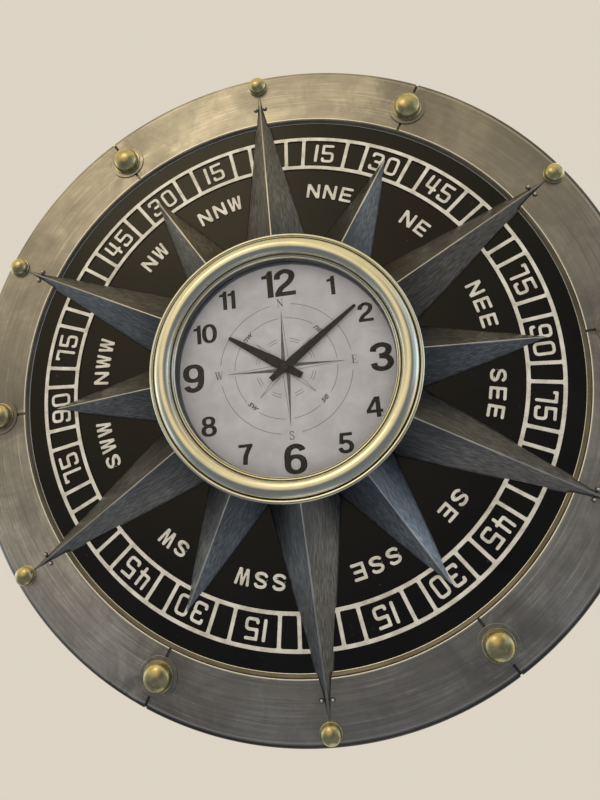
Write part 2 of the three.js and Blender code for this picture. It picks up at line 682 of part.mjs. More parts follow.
// Drive coil on its bobbin, along x
function driveCoil() {
  const end = COIL_LENGTH / 2;
  const profile = [
    [0, -end],
    [COIL_CHEEK_R, -end],
    [COIL_CHEEK_R, COIL_CHEEK - end],
    [COIL_R, COIL_CHEEK - end],
    [COIL_R, end - COIL_CHEEK],
    [COIL_CHEEK_R, end - COIL_CHEEK],
    [COIL_CHEEK_R, end],
    [0, end],
  ];
  return turned(profile, SMALL_SIDES);
}

// Minute shaft with the cannon pinion
function minuteShaft() {
  return post(MINUTE_SHAFT_R, COVER_BACK + GAP, SHAFT_TOP).add(
    gear(CANNON_TEETH, CANNON_TOOTH, FIRST_GEARS, FIRST_GEARS + GEAR_WIDTH),
  );
}

// Motion wheel and its pinion, both about their own arbor
function motionWheel() {
  return gear(MOTION_TEETH, MOTION_TOOTH, FIRST_GEARS, FIRST_GEARS + GEAR_WIDTH)
    .add(
      gear(
        MOTION_PINION_TEETH,
        MOTION_TOOTH,
        FIRST_GEARS + GEAR_WIDTH / 2,
        SECOND_GEARS + GEAR_WIDTH,
      ),
    )
    .add(post(ARBOR_R, COVER_BACK + GAP, ARBOR_TOP));
}

// Hour wheel with the tube that carries the hour hand
function hourWheel() {
  const front = SECOND_GEARS + GEAR_WIDTH;
  return gear(HOUR_TEETH, HOUR_TOOTH, SECOND_GEARS, front)
    .add(post(TUBE_R, SECOND_GEARS, HOUR_HAND_BACK + HAND_SHEET + GAP))
    .subtract(post(TUBE_BORE_R, SECOND_GEARS - GAP, CAP_BACK));
}

// Setting knob behind the cover, with the pinion that turns the motion wheel
function settingKnob() {
  const back = COVER_BACK - GAP - KNOB_THICK;
  const outline = new THREE.Shape();
  const points = [];
  for (let i = 0; i < KNOB_GRIPS; i++) {
    points.push(dial(KNOB_R, (-360 * i) / KNOB_GRIPS));
    points.push(dial(KNOB_R - KNOB_GRIP, (-360 * (i + 0.5)) / KNOB_GRIPS));
  }
  outline.setFromPoints(points);
  return sheet(outline, back, COVER_BACK - GAP)
    .add(post(ARBOR_R, COVER_BACK - 2 * GAP, ARBOR_TOP))
    .add(gear(KNOB_TEETH, KNOB_TOOTH, FIRST_GEARS, FIRST_GEARS + GEAR_WIDTH));
}

// Hand: widest just past the middle, tapering to a small round tip, with a short square tail
function hand({ length, tail, width, tipR, tailWidth, widest }, back, holeR) {
  const outline = new THREE.Shape();
  outline.moveTo(-tailWidth / 2, -tail);
  outline.lineTo(tailWidth / 2, -tail);
  outline.lineTo(width / 2, widest);
  outline.absarc(0, length - tipR, tipR, 0, Math.PI, false);
  outline.lineTo(-width / 2, widest);
  outline.closePath();
  const front = back + HAND_SHEET;
  return sheet(outline, back, front, 4).subtract(
    post(holeR, back - GAP, front + GAP, 2 * SMALL_SIDES),
  );
}

function handCap() {
  const top = CAP_BACK + CAP_THICK;
  const profile = [
    [MINUTE_SHAFT_R + FIT, CAP_BACK],
    [CAP_R, CAP_BACK],
    [CAP_R, CAP_BACK + CAP_THICK / 2],
    [CAP_FLAT_R, top],
    [0, top],
    [0, SHAFT_TOP + FIT],
    [MINUTE_SHAFT_R + FIT, SHAFT_TOP + FIT],
  ];
  return turned([...profile.slice(5), ...profile.slice(0, 5)], SMALL_SIDES);
}

// Hanger: a hat-shaped strap on the back of the plate, with a keyhole in its face
function hanger() {
  const half = HANGER_WIDTH / 2;
  const foot = PLATE_BACK - GAP;
  const low = -HANGER_BELOW;
  const high = HANGER_ABOVE;
  const profile = new THREE.Shape([
    new THREE.Vector2(low - HANGER_FOOT, foot),
    new THREE.Vector2(low - HANGER_FOOT, foot - HANGER_SHEET),
    new THREE.Vector2(low, foot - HANGER_SHEET),
    new THREE.Vector2(low, WALL),
    new THREE.Vector2(high, WALL),
    new THREE.Vector2(high, foot - HANGER_SHEET),
    new THREE.Vector2(high + HANGER_FOOT, foot - HANGER_SHEET),
    new THREE.Vector2(high + HANGER_FOOT, foot),
    new THREE.Vector2(high - HANGER_SHEET, foot),
    new THREE.Vector2(high - HANGER_SHEET, WALL + HANGER_SHEET),
    new THREE.Vector2(low + HANGER_SHEET, WALL + HANGER_SHEET),
    new THREE.Vector2(low + HANGER_SHEET, foot),
  ]);
  const options = { depth: HANGER_WIDTH, bevelEnabled: false };
  const geometry = new THREE.ExtrudeGeometry(profile, options);
  geometry.applyMatrix4(
    new THREE.Matrix4().makeBasis(
      new THREE.Vector3(0, 1, 0),
      new THREE.Vector3(0, 0, 1),
      new THREE.Vector3(1, 0, 0),
    ),
  );
  geometry.translate(-half, 0, 0);
  const front = WALL + HANGER_SHEET + GAP;
  const slotTop = KEYHOLE_RISE + KEYHOLE_LENGTH;
  return solid(geometry)
    .subtract(post(KEYHOLE_HEAD_R, WALL - GAP, front, SMALL_SIDES, 0, KEYHOLE_RISE))
    .subtract(
      block(-KEYHOLE_SLOT_R, KEYHOLE_SLOT_R, KEYHOLE_RISE, slotTop, WALL - GAP, front),
    )
    .subtract(post(KEYHOLE_SLOT_R, WALL - GAP, front, SMALL_SIDES, 0, slotTop));
}

function wallBumper() {
  const profile = [
    [0, WALL],
    [BUMPER_TIP_R, WALL],
    [BUMPER_R, WALL + BUMPER_TIP],
    [BUMPER_R, PLATE_BACK - GAP],
    [0, PLATE_BACK - GAP],
  ];
  return turned(profile, SMALL_SIDES);
}

// Scene graph: the clock's own frame, turned upright with the hanger at the origin
const clock = new THREE.Group();
clock.position.set(0, -WALL_DEPTH, -HANGER_HEIGHT);
clock.rotation.x = Math.PI / 2;
const root = new THREE.Group();
root.name = "compass_wall_clock";
root.add(clock);

const PEWTER = { color: 0x8d8578, roughness: 0.38, metalness: 0.9 };
const BRONZE = { color: 0x5c4c30, roughness: 0.4, metalness: 0.85 };
const BLACK = { color: 0x1b1b1a, roughness: 0.75, metalness: 0.1 };
const CREAM = { color: 0xc9c2ae, roughness: 0.5, metalness: 0.35 };
const STEEL = { color: 0x5a626b, roughness: 0.35, metalness: 0.9 };
const BRASS = { color: 0xa89a66, roughness: 0.25, metalness: 0.95 };
const SILVER = { color: 0xc6bc9c, roughness: 0.28, metalness: 0.95 };
const PAPER = { color: 0xb9b4ba, roughness: 0.8, metalness: 0 };
const GLASS = { color: 0xf2f6f6, roughness: 0.03, metalness: 0, transparent: true, opacity: 0.2 };
const PLASTIC = { color: 0x202124, roughness: 0.55, metalness: 0 };
const NYLON = { color: 0xe6e3da, roughness: 0.5, metalness: 0 };
const COPPER = { color: 0xa4562c, roughness: 0.4, metalness: 0.7 };
const GREEN = { color: 0x1f5a34, roughness: 0.6, metalness: 0.1 };
const RUBBER = { color: 0x161616, roughness: 0.9, metalness: 0 };
const ZINC = { color: 0xb4b8ba, roughness: 0.4, metalness: 0.9 };
const JACKET = { color: 0x2b4a6b, roughness: 0.45, metalness: 0.2 };

function add(name, geometry, finish, angle = 0, x = 0, y = 0, z = 0) {
  const mesh = new THREE.Mesh(geometry, new THREE.MeshStandardMaterial(finish));
  mesh.name = name;
  mesh.rotation.z = -angle * degrees;
  mesh.position.set(x, y, z);
  clock.add(mesh);
  return mesh;
}

// Rim, ledge, plate and scale
const sectorAngle = 360 / SEGMENTS;
const segmentGeometry = geometryOf(rimSegment());
const bigStudGeometry = geometryOf(stud(BIG_STUD));
const smallStudGeometry = geometryOf(stud(SMALL_STUD));
const longRayGeometry = geometryOf(ray(LONG_RAY, GAP));
const shortRayGeometry = geometryOf(ray(SHORT_RAY, SCALE_TOP + GAP));
for (let i = 0; i < SEGMENTS; i++) {
  const middle = i * sectorAngle;
  const seam = middle + sectorAngle / 2;
  const small = dial(SMALL_STUD.circleR, middle);
  const big = dial(BIG_STUD.circleR, seam);
  add(`rim_segment_${i + 1}`, segmentGeometry, PEWTER, middle);
  add(`small_stud_${i + 1}`, smallStudGeometry, BRASS, middle, small.x, small.y);
  add(`large_stud_${i + 1}`, bigStudGeometry, BRASS, seam, big.x, big.y);
  add(`long_ray_${i + 1}`, longRayGeometry, STEEL, middle);
  add(`short_ray_${i + 1}`, shortRayGeometry, STEEL, seam);
}
add("ledge_ring", geometryOf(ledgeRing()), BRONZE);
add("dial_plate", geometryOf(dialPlate()), BLACK);
add("scale_ring", geometryOf(scaleRing()), CREAM);

// Clock in the middle
const sightRing = ring(
  BEZEL_SIGHT_R,
  BEZEL_SIGHT_R + SIGHT_RING_WALL,
  DIAL_FRONT + GAP,
  GLASS_BACK - GAP,
  CLOCK_SIDES,
);
add("clock_drum", geometryOf(drum()), ZINC);
add("bezel", geometryOf(bezel()), SILVER);
add("glass", geometryOf(post(GLASS_R, GLASS_BACK, GLASS_TOP, CLOCK_SIDES)), GLASS);
add("sight_ring", geometryOf(sightRing), SILVER);
add("dial_face", geometryOf(ring(BUSH_R + FIT, DIAL_R, DIAL_BACK, DIAL_FRONT, CLOCK_SIDES)), PAPER);

// Movement
const gasketBack = MOVEMENT_FRONT + GAP;
const gasket = ring(BUSH_R + GAP, GASKET_R, gasketBack, gasketBack + GASKET_SHEET, SMALL_SIDES);
add("movement_case", geometryOf(movementCase()), PLASTIC);
add("movement_cover", geometryOf(movementCover()), PLASTIC);
add("movement_gasket", geometryOf(gasket), RUBBER);
add("hex_nut", geometryOf(hexNut()), BRASS);
const batteryGeometry = geometryOf(battery()).rotateY(Math.PI / 2);
add("battery", batteryGeometry, JACKET, 0, 0, BATTERY_Y, BATTERY_Z);
add("battery_contact_minus", geometryOf(batteryContact(-1)), ZINC);
add("battery_contact_plus", geometryOf(batteryContact(1)), ZINC);
const coilY = INSIDE - COIL_CHEEK_R - GAP;
const coilX = INSIDE - COIL_LENGTH / 2 - GAP;
const coilGeometry = geometryOf(driveCoil()).rotateY(Math.PI / 2);
add("drive_coil", coilGeometry, COPPER, 0, coilX, coilY, MOVEMENT_INNER - COIL_CHEEK_R - GAP);
const boardX = INSIDE - GAP - BOARD_WIDTH;
const boardTop = coilY - COIL_CHEEK_R - GAP;
const boardZ = MOVEMENT_INNER - GAP - BOARD_SHEET;
add(
  "circuit_board",
  geometryOf(block(0, BOARD_WIDTH, -BOARD_HEIGHT, 0, 0, BOARD_SHEET)),
  GREEN,
  0,
  boardX,
  boardTop,
  boardZ,
);

// Wheels and hands
add("minute_shaft", geometryOf(minuteShaft()), BRASS);
add("motion_wheel", geometryOf(motionWheel()), NYLON, 0, MOTION_AT.x, MOTION_AT.y);
add("hour_wheel", geometryOf(hourWheel()), NYLON);
add("setting_knob", geometryOf(settingKnob()), NYLON, 0, KNOB_AT.x, KNOB_AT.y);
const hourHand = hand(HOUR_HAND, HOUR_HAND_BACK, TUBE_R + FIT);
const minuteHand = hand(MINUTE_HAND, MINUTE_HAND_BACK, MINUTE_SHAFT_R + FIT);
add("hour_hand", geometryOf(hourHand), PLASTIC, HOUR_ANGLE);
add("minute_hand", geometryOf(minuteHand), PLASTIC, MINUTE_ANGLE);
add("hand_cap", geometryOf(handCap()), PLASTIC);

// Behind the plate
const bumperGeometry = geometryOf(wallBumper());
add("hanger", geometryOf(hanger()), ZINC, 0, 0, HANGER_HEIGHT);
for (const [name, side] of [["left", 1], ["right", -1]]) {
  const at = dial(RIM_OUTER_R - BUMPER_INSET, 180 + side * BUMPER_ANGLE);
  add(`wall_bumper_${name}`, bumperGeometry, RUBBER, 0, at.x, at.y);
}

export default root;
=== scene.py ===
# A large round wall clock dressed as a metal compass, with every finish made from nodes.
#
# Shapes are in millimetres in the clock's own frame, seen from the front: x to the right, y up and
# h towards the viewer, with zero at the centre and on the rim's front plane. Angles on the dial run
# clockwise from the top, in degrees. Cameras, lamps and node coordinates are in metres.
import math

import bmesh
import bpy
from mathutils import Matrix, Vector
from mathutils.geometry import delaunay_2d_cdt


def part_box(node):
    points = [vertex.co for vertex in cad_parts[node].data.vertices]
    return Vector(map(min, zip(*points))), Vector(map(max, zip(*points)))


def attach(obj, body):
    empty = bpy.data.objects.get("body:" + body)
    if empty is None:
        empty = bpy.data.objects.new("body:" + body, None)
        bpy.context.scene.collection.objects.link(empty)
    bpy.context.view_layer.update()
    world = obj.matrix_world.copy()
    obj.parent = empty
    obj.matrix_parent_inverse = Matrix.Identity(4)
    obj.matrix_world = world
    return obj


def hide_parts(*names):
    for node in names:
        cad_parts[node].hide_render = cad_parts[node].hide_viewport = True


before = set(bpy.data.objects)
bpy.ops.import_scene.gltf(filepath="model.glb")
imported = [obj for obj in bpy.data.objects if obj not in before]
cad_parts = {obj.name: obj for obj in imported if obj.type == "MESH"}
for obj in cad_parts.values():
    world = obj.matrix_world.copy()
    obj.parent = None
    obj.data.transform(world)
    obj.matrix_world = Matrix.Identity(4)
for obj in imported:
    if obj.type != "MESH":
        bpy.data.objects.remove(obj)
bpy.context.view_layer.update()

MM = 0.001
SEGMENTS = 6
STEP = 360 / SEGMENTS


def numbered(name):
    return [f"{name}_{i + 1}" for i in range(SEGMENTS)]


# Places and sizes that the frame gives
rim_boxes = [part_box(n) for n in numbered("rim_segment")]
rim_top = max(high.z for low, high in rim_boxes)
rim_bottom = min(low.z for low, high in rim_boxes)
RIM_FRONT_Y = min(low.y for low, high in rim_boxes)
CENTRE_Z = (rim_top + rim_bottom) / 2
RIM_R = (rim_top - rim_bottom) / 2 / MM
CLOCK = Matrix.Translation((0, RIM_FRONT_Y, CENTRE_Z)) @ Matrix.Rotation(math.pi / 2, 4, "X")


def radius_of(node):
    low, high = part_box(node)
    return (high.x - low.x) / 2 / MM


def back_of(node):
    return (RIM_FRONT_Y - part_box(node)[1].y) / MM


def front_of(node):
    return (RIM_FRONT_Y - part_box(node)[0].y) / MM


# Sizes that the solids have and that the frame's boxes don't give
SEAT_GAP = 0.3
DRUM_FLANGE = 5
SIGHT_MARGIN = 4
RIM_WIDTH = 69
LIP_WIDTH = 5
SMALL_STUD_INSET = 15
BIG_STUD_INSET = 36.7

PLATE_BACK = back_of("dial_plate")
PLATE_FRONT = front_of("dial_plate")
PLATE_R = radius_of("dial_plate")
BEZEL_R = radius_of("bezel")
BEZEL_SEAT = front_of("clock_drum") + SEAT_GAP
DRUM_R = radius_of("clock_drum") - DRUM_FLANGE
DIAL_R = radius_of("dial_face")
DIAL_FRONT = front_of("dial_face")
GLASS_R = radius_of("glass")
SIGHT_R = GLASS_R - SIGHT_MARGIN
SCALE_R = radius_of("scale_ring")
LIP_R = RIM_R - RIM_WIDTH
LEDGE_R = LIP_R - LIP_WIDTH
SMALL_STUD_R = RIM_R - SMALL_STUD_INSET
BIG_STUD_R = RIM_R - BIG_STUD_INSET


# Outlines and solids

def dial(r, angle):
    a = math.radians(angle)
    return r * math.sin(a), r * math.cos(a)


def rounded(corners, steps=4):
    """Outline through corners of (x, y, radius)."""
    outline = []
    count = len(corners)
    for i, (x, y, r) in enumerate(corners):
        here = Vector((x, y))
        before = Vector(corners[i - 1][:2]) - here
        after = Vector(corners[(i + 1) % count][:2]) - here
        half = before.angle(after) / 2
        if r <= 0 or half > math.radians(88):
            outline.append((x, y))
            continue
        cut = min(r / math.tan(half), before.length / 2, after.length / 2)
        r = cut * math.tan(half)
        middle = here + (before.normalized() + after.normalized()).normalized() * r / math.sin(half)
        arm = here + before.normalized() * cut - middle
        sweep = arm.angle_signed(here + after.normalized() * cut - middle)
        for k in range(steps + 1):
            point = middle + Matrix.Rotation(-sweep * k / steps, 2) @ arm
            outline.append((point.x, point.y))
    return outline


def smooth(points, steps=5):
    """Catmull-Rom curve through the points."""
    line = []
    ends = [points[0], *points, points[-1]]
    for a, b, c, d in zip(ends, ends[1:], ends[2:], ends[3:]):
        for k in range(steps):
            t = k / steps
            line.append(tuple(
                (2 * q + (r - p) * t + (2 * p - 5 * q + 4 * r - s) * t * t
                 + (3 * q - p - 3 * r + s) * t ** 3) / 2
                for p, q, r, s in zip(a, b, c, d)
            ))
    line.append(points[-1])
    return line


def circle(r, x=0, y=0, sides=160):
    turns = [2 * math.pi * k / sides for k in range(sides)]
    return [(x + r * math.sin(a), y + r * math.cos(a)) for a in turns]


def arc(r, start, end, steps):
    return [dial(r, start + (end - start) * k / steps) for k in range(steps + 1)]


def ribbon(points, width, cap_steps=0):
    """Outline of a line of even width, with round ends where there are cap steps."""
    points = [Vector(p) for p in points]
    left, right = [], []
    for i, point in enumerate(points):
        ahead = points[min(i + 1, len(points) - 1)] - points[max(i - 1, 0)]
        across = Vector((-ahead.y, ahead.x)).normalized() * width / 2
        left.append(point + across)
        right.append(point - across)

    def cap(end, start):
        turns = [-math.pi * k / cap_steps for k in range(1, cap_steps)]
        return [end + Matrix.Rotation(a, 2) @ (start - end) for a in turns]

    outline = left + cap(points[-1], left[-1]) + right[::-1] + cap(points[0], right[0])
    return [tuple(p) for p in outline]


def moved(loop, x=0, y=0, angle=0):
    turn = Matrix.Rotation(-math.radians(angle), 2)
    return [tuple(turn @ Vector(p) + Vector((x, y))) for p in loop]


def finished(bm, scale=1):
    if scale != 1:
        bmesh.ops.scale(bm, vec=(scale, scale, scale), verts=bm.verts)
    bmesh.ops.recalc_face_normals(bm, faces=bm.faces)
    mesh = bpy.data.meshes.new("shape")
    bm.to_mesh(mesh)
    bm.free()
    return mesh


def lofted(rows, closed=False):
    """Solid through rows of points, each closed. The last row meets the first, or both end flat."""
    rows = list(rows)
    bm = bmesh.new()
    verts = {p: bm.verts.new(p) for p in dict.fromkeys(p for row in rows for p in row)}
    rows = [[verts[p] for p in row] for row in rows]
    above = rows[1:] + (rows[:1] if closed else [])
    for low, high in zip(rows, above):
        for k in range(len(low)):
            after = (k + 1) % len(low)
            bm.faces.new(dict.fromkeys((low[k], low[after], high[after], high[k])))
    for row in (rows[0], rows[-1]):
        if not closed and row[0] != row[1]:
            bm.faces.new(row)
    return finished(bm, MM)


def turned(profile, sides=160, x=0, y=0):
    """Solid of revolution from (radius, height). It closes on itself, or starts and ends on the axis."""
    rows = [[(*p, h) for p in circle(r, x, y, sides)] for r, h in profile]
    return lofted(rows, closed=profile[0][0] > 0)


def sector(profile, half_angle, slit, steps=48):
    """Part of a turned ring, whose ends stand half a slit inside the sector's sides."""
    lines = []
    for r, h in profile:
        limit = half_angle - math.degrees(math.asin(slit / 2 / r))
        lines.append([(*p, h) for p in arc(r, -limit, limit, steps)])
    return lofted(zip(*lines))


# Points nearer than this are one point
WELD = 0.002


def evaluated_bm(data):
    """A curve or text, as bmesh."""
    holder = bpy.data.objects.new("outline", data)
    bpy.context.scene.collection.objects.link(holder)
    bpy.context.view_layer.update()
    shown = holder.evaluated_get(bpy.context.evaluated_depsgraph_get())
    bm = bmesh.new()
    bm.from_mesh(shown.to_mesh())
    shown.to_mesh_clear()
    bpy.data.objects.remove(holder)
    return bm


def flat(loops, back, front, edge):
    """Sheet cut to the loops, the inner ones being holes, with rounded edges."""
    curve = bpy.data.curves.new("outline", "CURVE")
    curve.dimensions = "2D"
    curve.fill_mode = "BOTH"
    curve.extrude = (front - back) / 2 - edge
    curve.bevel_depth = edge
    curve.bevel_resolution = 2
    curve.offset = -edge
    for loop in loops:
        spline = curve.splines.new("POLY")
        spline.points.add(len(loop) - 1)
        for point, (x, y) in zip(spline.points, loop):
            point.co = (x, y, 0, 1)
        spline.use_cyclic_u = True
    bm = evaluated_bm(curve)
    bmesh.ops.remove_doubles(bm, verts=bm.verts, dist=WELD)
    bmesh.ops.translate(bm, vec=(0, 0, (back + front) / 2), verts=bm.verts)
    return finished(bm, MM)


def inside(loop, x, y):
    crossed = False
    for (ax, ay), (bx, by) in zip(loop, loop[1:] + loop[:1]):
        if (ay > y) != (by > y) and x < ax + (y - ay) * (bx - ax) / (by - ay):
            crossed = not crossed
    return crossed


def printed(shapes):
    """Ink over all the shapes together. Each is a list of loops, the inner ones being holes."""
    points, edges = [], []
    for loop in (loop for loops in shapes for loop in loops):
        first = len(points)
        points += [Vector(p) for p in loop]
        edges += [(first + k, first + (k + 1) % len(loop)) for k in range(len(loop))]
    points, _, triangles = delaunay_2d_cdt(points, edges, [], 0, 0.0001)[:3]
    bm = bmesh.new()
    verts = [bm.verts.new((*p, PRINT_BACK)) for p in points]
    for triangle in triangles:
        x, y = sum((points[k] for k in triangle), Vector((0, 0))) / 3
        if any(sum(inside(loop, x, y) for loop in loops) % 2 for loops in shapes):
            bm.faces.new([verts[k] for k in triangle])
    bmesh.ops.delete(bm, geom=[v for v in bm.verts if not v.link_faces], context="VERTS")
    made = bmesh.ops.extrude_face_region(bm, geom=bm.faces[:], use_keep_orig=True)
    front_verts = [part for part in made["geom"] if isinstance(part, bmesh.types.BMVert)]
    bmesh.ops.translate(bm, vec=(0, 0, PRINT_FRONT - PRINT_BACK), verts=front_verts)
    return finished(bm, MM)


def italic(text, height, x, y, lean):
    """Slanting text of that height printed on the dial, turned round its middle."""
    bold, slant, thickness = 0.12, 0.3, 0.2
    curve = bpy.data.curves.new("text", "FONT")
    curve.body = text
    curve.size = 1
    curve.shear = slant
    curve.resolution_u = 6
    curve.extrude = thickness / 2
    curve.offset = bold / height
    bm = evaluated_bm(curve)
    low, high = (Vector([end(v.co[k] for v in bm.verts) for k in range(3)]) for end in (min, max))
    size = height / (high.y - low.y)
    bmesh.ops.translate(bm, vec=-(low + high) / 2, verts=bm.verts)
    bmesh.ops.scale(bm, vec=(size, size, (PRINT_FRONT - PRINT_BACK) / thickness), verts=bm.verts)
    bmesh.ops.rotate(bm, matrix=Matrix.Rotation(-math.radians(lean), 3, "Z"), verts=bm.verts)
    bmesh.ops.translate(bm, vec=(x, y, (PRINT_FRONT + PRINT_BACK) / 2), verts=bm.verts)
    bmesh.ops.remove_doubles(bm, verts=bm.verts, dist=WELD)
    return finished(bm, MM)


def joined(meshes):
    bm = bmesh.new()
    for mesh in meshes:
        bm.from_mesh(mesh)
        bpy.data.meshes.remove(mesh)
    return finished(bm)


def softened(node, edge, place=CLOCK, sharp=25, ridge=0.0):
    """Copy of a node's solid with its edges rounded, in the frame of a place."""
    weld, flatness, shortest = 0.01, 0.8, 0.9
    bm = bmesh.new()
    bm.from_mesh(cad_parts[node].data)
    bm.transform(place.inverted())
    bmesh.ops.scale(bm, vec=(1 / MM, 1 / MM, 1 / MM), verts=bm.verts)
    bmesh.ops.remove_doubles(bm, verts=bm.verts, dist=weld)
    bmesh.ops.dissolve_limit(bm, angle_limit=math.radians(flatness), verts=bm.verts, edges=bm.edges)

    def crease(e):
        return len(e.link_faces) == 2 and e.calc_face_angle(0) > math.radians(sharp)

    def on_ridge(e):
        return all(abs(v.co.x) < 0.3 for v in e.verts) and all(f.normal.z > 0.3 for f in e.link_faces)

    def bevel(edges, width, steps):
        bmesh.ops.bevel(
            bm, geom=edges, offset=width, offset_type="OFFSET", segments=steps, profile=0.5,
            affect="EDGES", clamp_overlap=True,
        )

    if ridge:
        bevel([e for e in bm.edges if crease(e) and on_ridge(e)], ridge, 4)
    bm.normal_update()
    bevel([e for e in bm.edges if crease(e) and not (ridge and e.calc_length() < shortest)], edge, 2)
    return finished(bm, MM)


def piece(name, mesh, material, angle=0, at=(0, 0, 0), body="clock", node=(), sharp=32):
    """Puts a shape in place, smooth but for its sharp edges, riding on a body."""
    obj = bpy.data.objects.new(name, mesh)
    mesh.name = name
    bpy.context.scene.collection.objects.link(obj)
    obj.matrix_world = placed(angle, at)
    mesh.materials.clear()
    mesh.materials.append(material)
    for face in mesh.polygons:
        face.use_smooth = True
        face.material_index = 0
    mesh.set_sharp_from_angle(angle=math.radians(sharp))
    weighted = obj.modifiers.new("flat faces stay flat", "WEIGHTED_NORMAL")
    weighted.keep_sharp = True
    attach(obj, body)
    if node:
        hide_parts(*([node] if isinstance(node, str) else node))
    return obj


def placed(angle=0, at=(0, 0, 0)):
    return (
        CLOCK
        @ Matrix.Translation(Vector(at) * MM)
        @ Matrix.Rotation(-math.radians(angle), 4, "Z")
    )


# Materials

def node(kind, inputs=(), tree=None, **settings):
    """New node, in the tree of what is linked to it unless another one is given."""
    inputs = dict(inputs)
    linked = [key for key, value in inputs.items() if isinstance(value, bpy.types.NodeSocket)]
    tree = tree or inputs[linked[0]].id_data
    made = tree.nodes.new("ShaderNode" + kind)
    for name, value in settings.items():
        setattr(made, name, value)
    for key, value in inputs.items():
        if key in linked:
            tree.links.new(value, made.inputs[key])
        else:
            made.inputs[key].default_value = value
    return made


def maths(operation, a, b=0.0, c=0.0):
    return node("Math", {0: a, 1: b, 2: c}, operation=operation).outputs[0]


def distance(value, point):
    return maths("ABSOLUTE", maths("SUBTRACT", value, point))


def spread(value, low, high, to_low=0.0, to_high=1.0):
    """The value's range from low to high, made to run between two others."""
    inputs = {"Value": value, 1: low, 2: high, 3: to_low, 4: to_high}
    return node("MapRange", inputs, clamp=True).outputs[0]


def noise(vector, scale, detail=4.0, roughness=0.55, distortion=0.0):
    inputs = {
        "Vector": vector, "Scale": scale, "Detail": detail,
        "Roughness": roughness, "Distortion": distortion,
    }
    return node("TexNoise", inputs).outputs["Fac"]


def solid(colour):
    return colour if isinstance(colour, bpy.types.NodeSocket) else (*colour, 1)


def mixed(factor, a, b, blend="MIX"):
    inputs = {0: factor, 6: solid(a), 7: solid(b)}
    return node("Mix", inputs, data_type="RGBA", blend_type=blend).outputs[2]


def tinted(tone, colour, value, *limits):
    """The tone, going over to a colour as far as the value is spread between its limits."""
    return mixed(spread(value, *limits), tone, colour)


def ramp(factor, *stops):
    made = node("ValToRGB", {0: factor})
    band = made.color_ramp
    while len(band.elements) < len(stops):
        band.elements.new(0.5)
    for element, (position, colour) in zip(band.elements, stops):
        element.position = position
        element.color = (*colour, 1)
    return made.outputs[0]


def bump(height, distance, strength, under=None):
    inputs = {"Height": height, "Distance": distance, "Strength": strength}
    if under:
        inputs["Normal"] = under
    return node("Bump", inputs).outputs[0]


def axes(vector):
    return node("SeparateXYZ", {0: vector}).outputs


def stretched(vector, x, y, z):
    return node("VectorMath", {0: vector, 1: (x, y, z)}, operation="MULTIPLY").outputs[0]


def radius_in(vector):
    """Distance from the clock's axis, in metres."""
    across = stretched(vector, 1, 1, 0)
    return node("VectorMath", {0: across}, operation="LENGTH").outputs["Value"]


def round_the_axis(vector, across, along):
    """Coordinates whose noise runs in streaks round the clock's axis."""
    level = stretched(vector, 1, 1, 0)
    way = node("VectorMath", {0: level}, operation="NORMALIZE").outputs[0]
    reach = maths("ADD", radius_in(vector), axes(vector)[2])
    out = node("CombineXYZ", {0: maths("MULTIPLY", reach, across)}).outputs[0]
    x, y, _ = axes(stretched(way, along, along, 0))
    rest = node("CombineXYZ", {1: x, 2: y}).outputs[0]
    return node("VectorMath", {0: out, 1: rest}, operation="ADD").outputs[0]


def surface(name, metallic=0.0, roughness=0.5, **sockets):
    """New material and its coordinates."""
    material = bpy.data.materials.new(name)
    material.use_nodes = True
    tree = material.node_tree
    sockets |= {"Metallic": metallic, "Roughness": roughness}
    for key, value in sockets.items():
        tree.nodes["Principled BSDF"].inputs[key.replace("_", " ")].default_value = value
    return material, node("TexCoord", tree=tree).outputs["Object"]


def wire(material, tone, rough=None, relief=None):
    """Joins its tone, roughness and relief to a shader. Roughness may be a noise and its limits."""
    tree = material.node_tree
    if isinstance(rough, tuple):
        rough = spread(rough[0], 0.3, 0.7, *rough[1:])
    for key, socket in (("Base Color", tone), ("Roughness", rough), ("Normal", relief)):
        if socket is not None:
            tree.links.new(socket, tree.nodes["Principled BSDF"].inputs[key])
    return material


def mottled(name, cloud, stops, rough, relief=None, grain=None, **sockets):
    """Finish whose tone and roughness follow one noise, and its relief that one or a finer one."""
    material, place = surface(name, **sockets)
    cloud = noise(place, *cloud)
    height = noise(place, *grain) if grain else cloud
    relief = bump(height, *relief) if relief else None
    return wire(material, ramp(cloud, *stops), (cloud, *rough), relief)


def around(place, across, along, detail, roughness):
    """Noise in streaks round the clock's axis."""
    return noise(round_the_axis(place, across, along), 1, detail, roughness)


def drawn(place, across, along, detail, roughness, distortion=0.0):
    """Noise in streaks along the piece's own y."""
    return noise(stretched(place, across, along, across), 1, detail, roughness, distortion)


def brushed(material, tone, streaks, patches, fine, ends, depths):
    """Brushed metal, a little duller in its patches."""
    rough = maths("ADD", spread(streaks, 0.3, 0.7, *ends), spread(patches, 0.4, 0.7, 0, 0.08))
    relief = bump(streaks, depths[0], 0.4, bump(fine, depths[1], 0.4))
    return wire(material, tone, rough, relief)


# Darkness of each rim segment's patina, clockwise from the top
SECTOR_SHADES = [0.24, 0.6, 0.26, 0.48, 0.0, 0.42]


def sector_shades(place):
    """Each segment's own darkness, and how near its seams a place is."""
    x, y, _ = axes(place)
    turn = maths("DIVIDE", maths("ARCTAN2", x, y), 2 * math.pi)
    share = maths("FRACT", maths("ADD", turn, 1 + 0.5 / SEGMENTS))
    shades = ramp(share, *((k / SEGMENTS, [shade] * 3) for k, shade in enumerate(SECTOR_SHADES)))
    shades.node.color_ramp.interpolation = "CONSTANT"
    along = maths("FRACT", maths("MULTIPLY", share, SEGMENTS))
    return shades, spread(distance(along, 0.5), 0.3, 0.5)


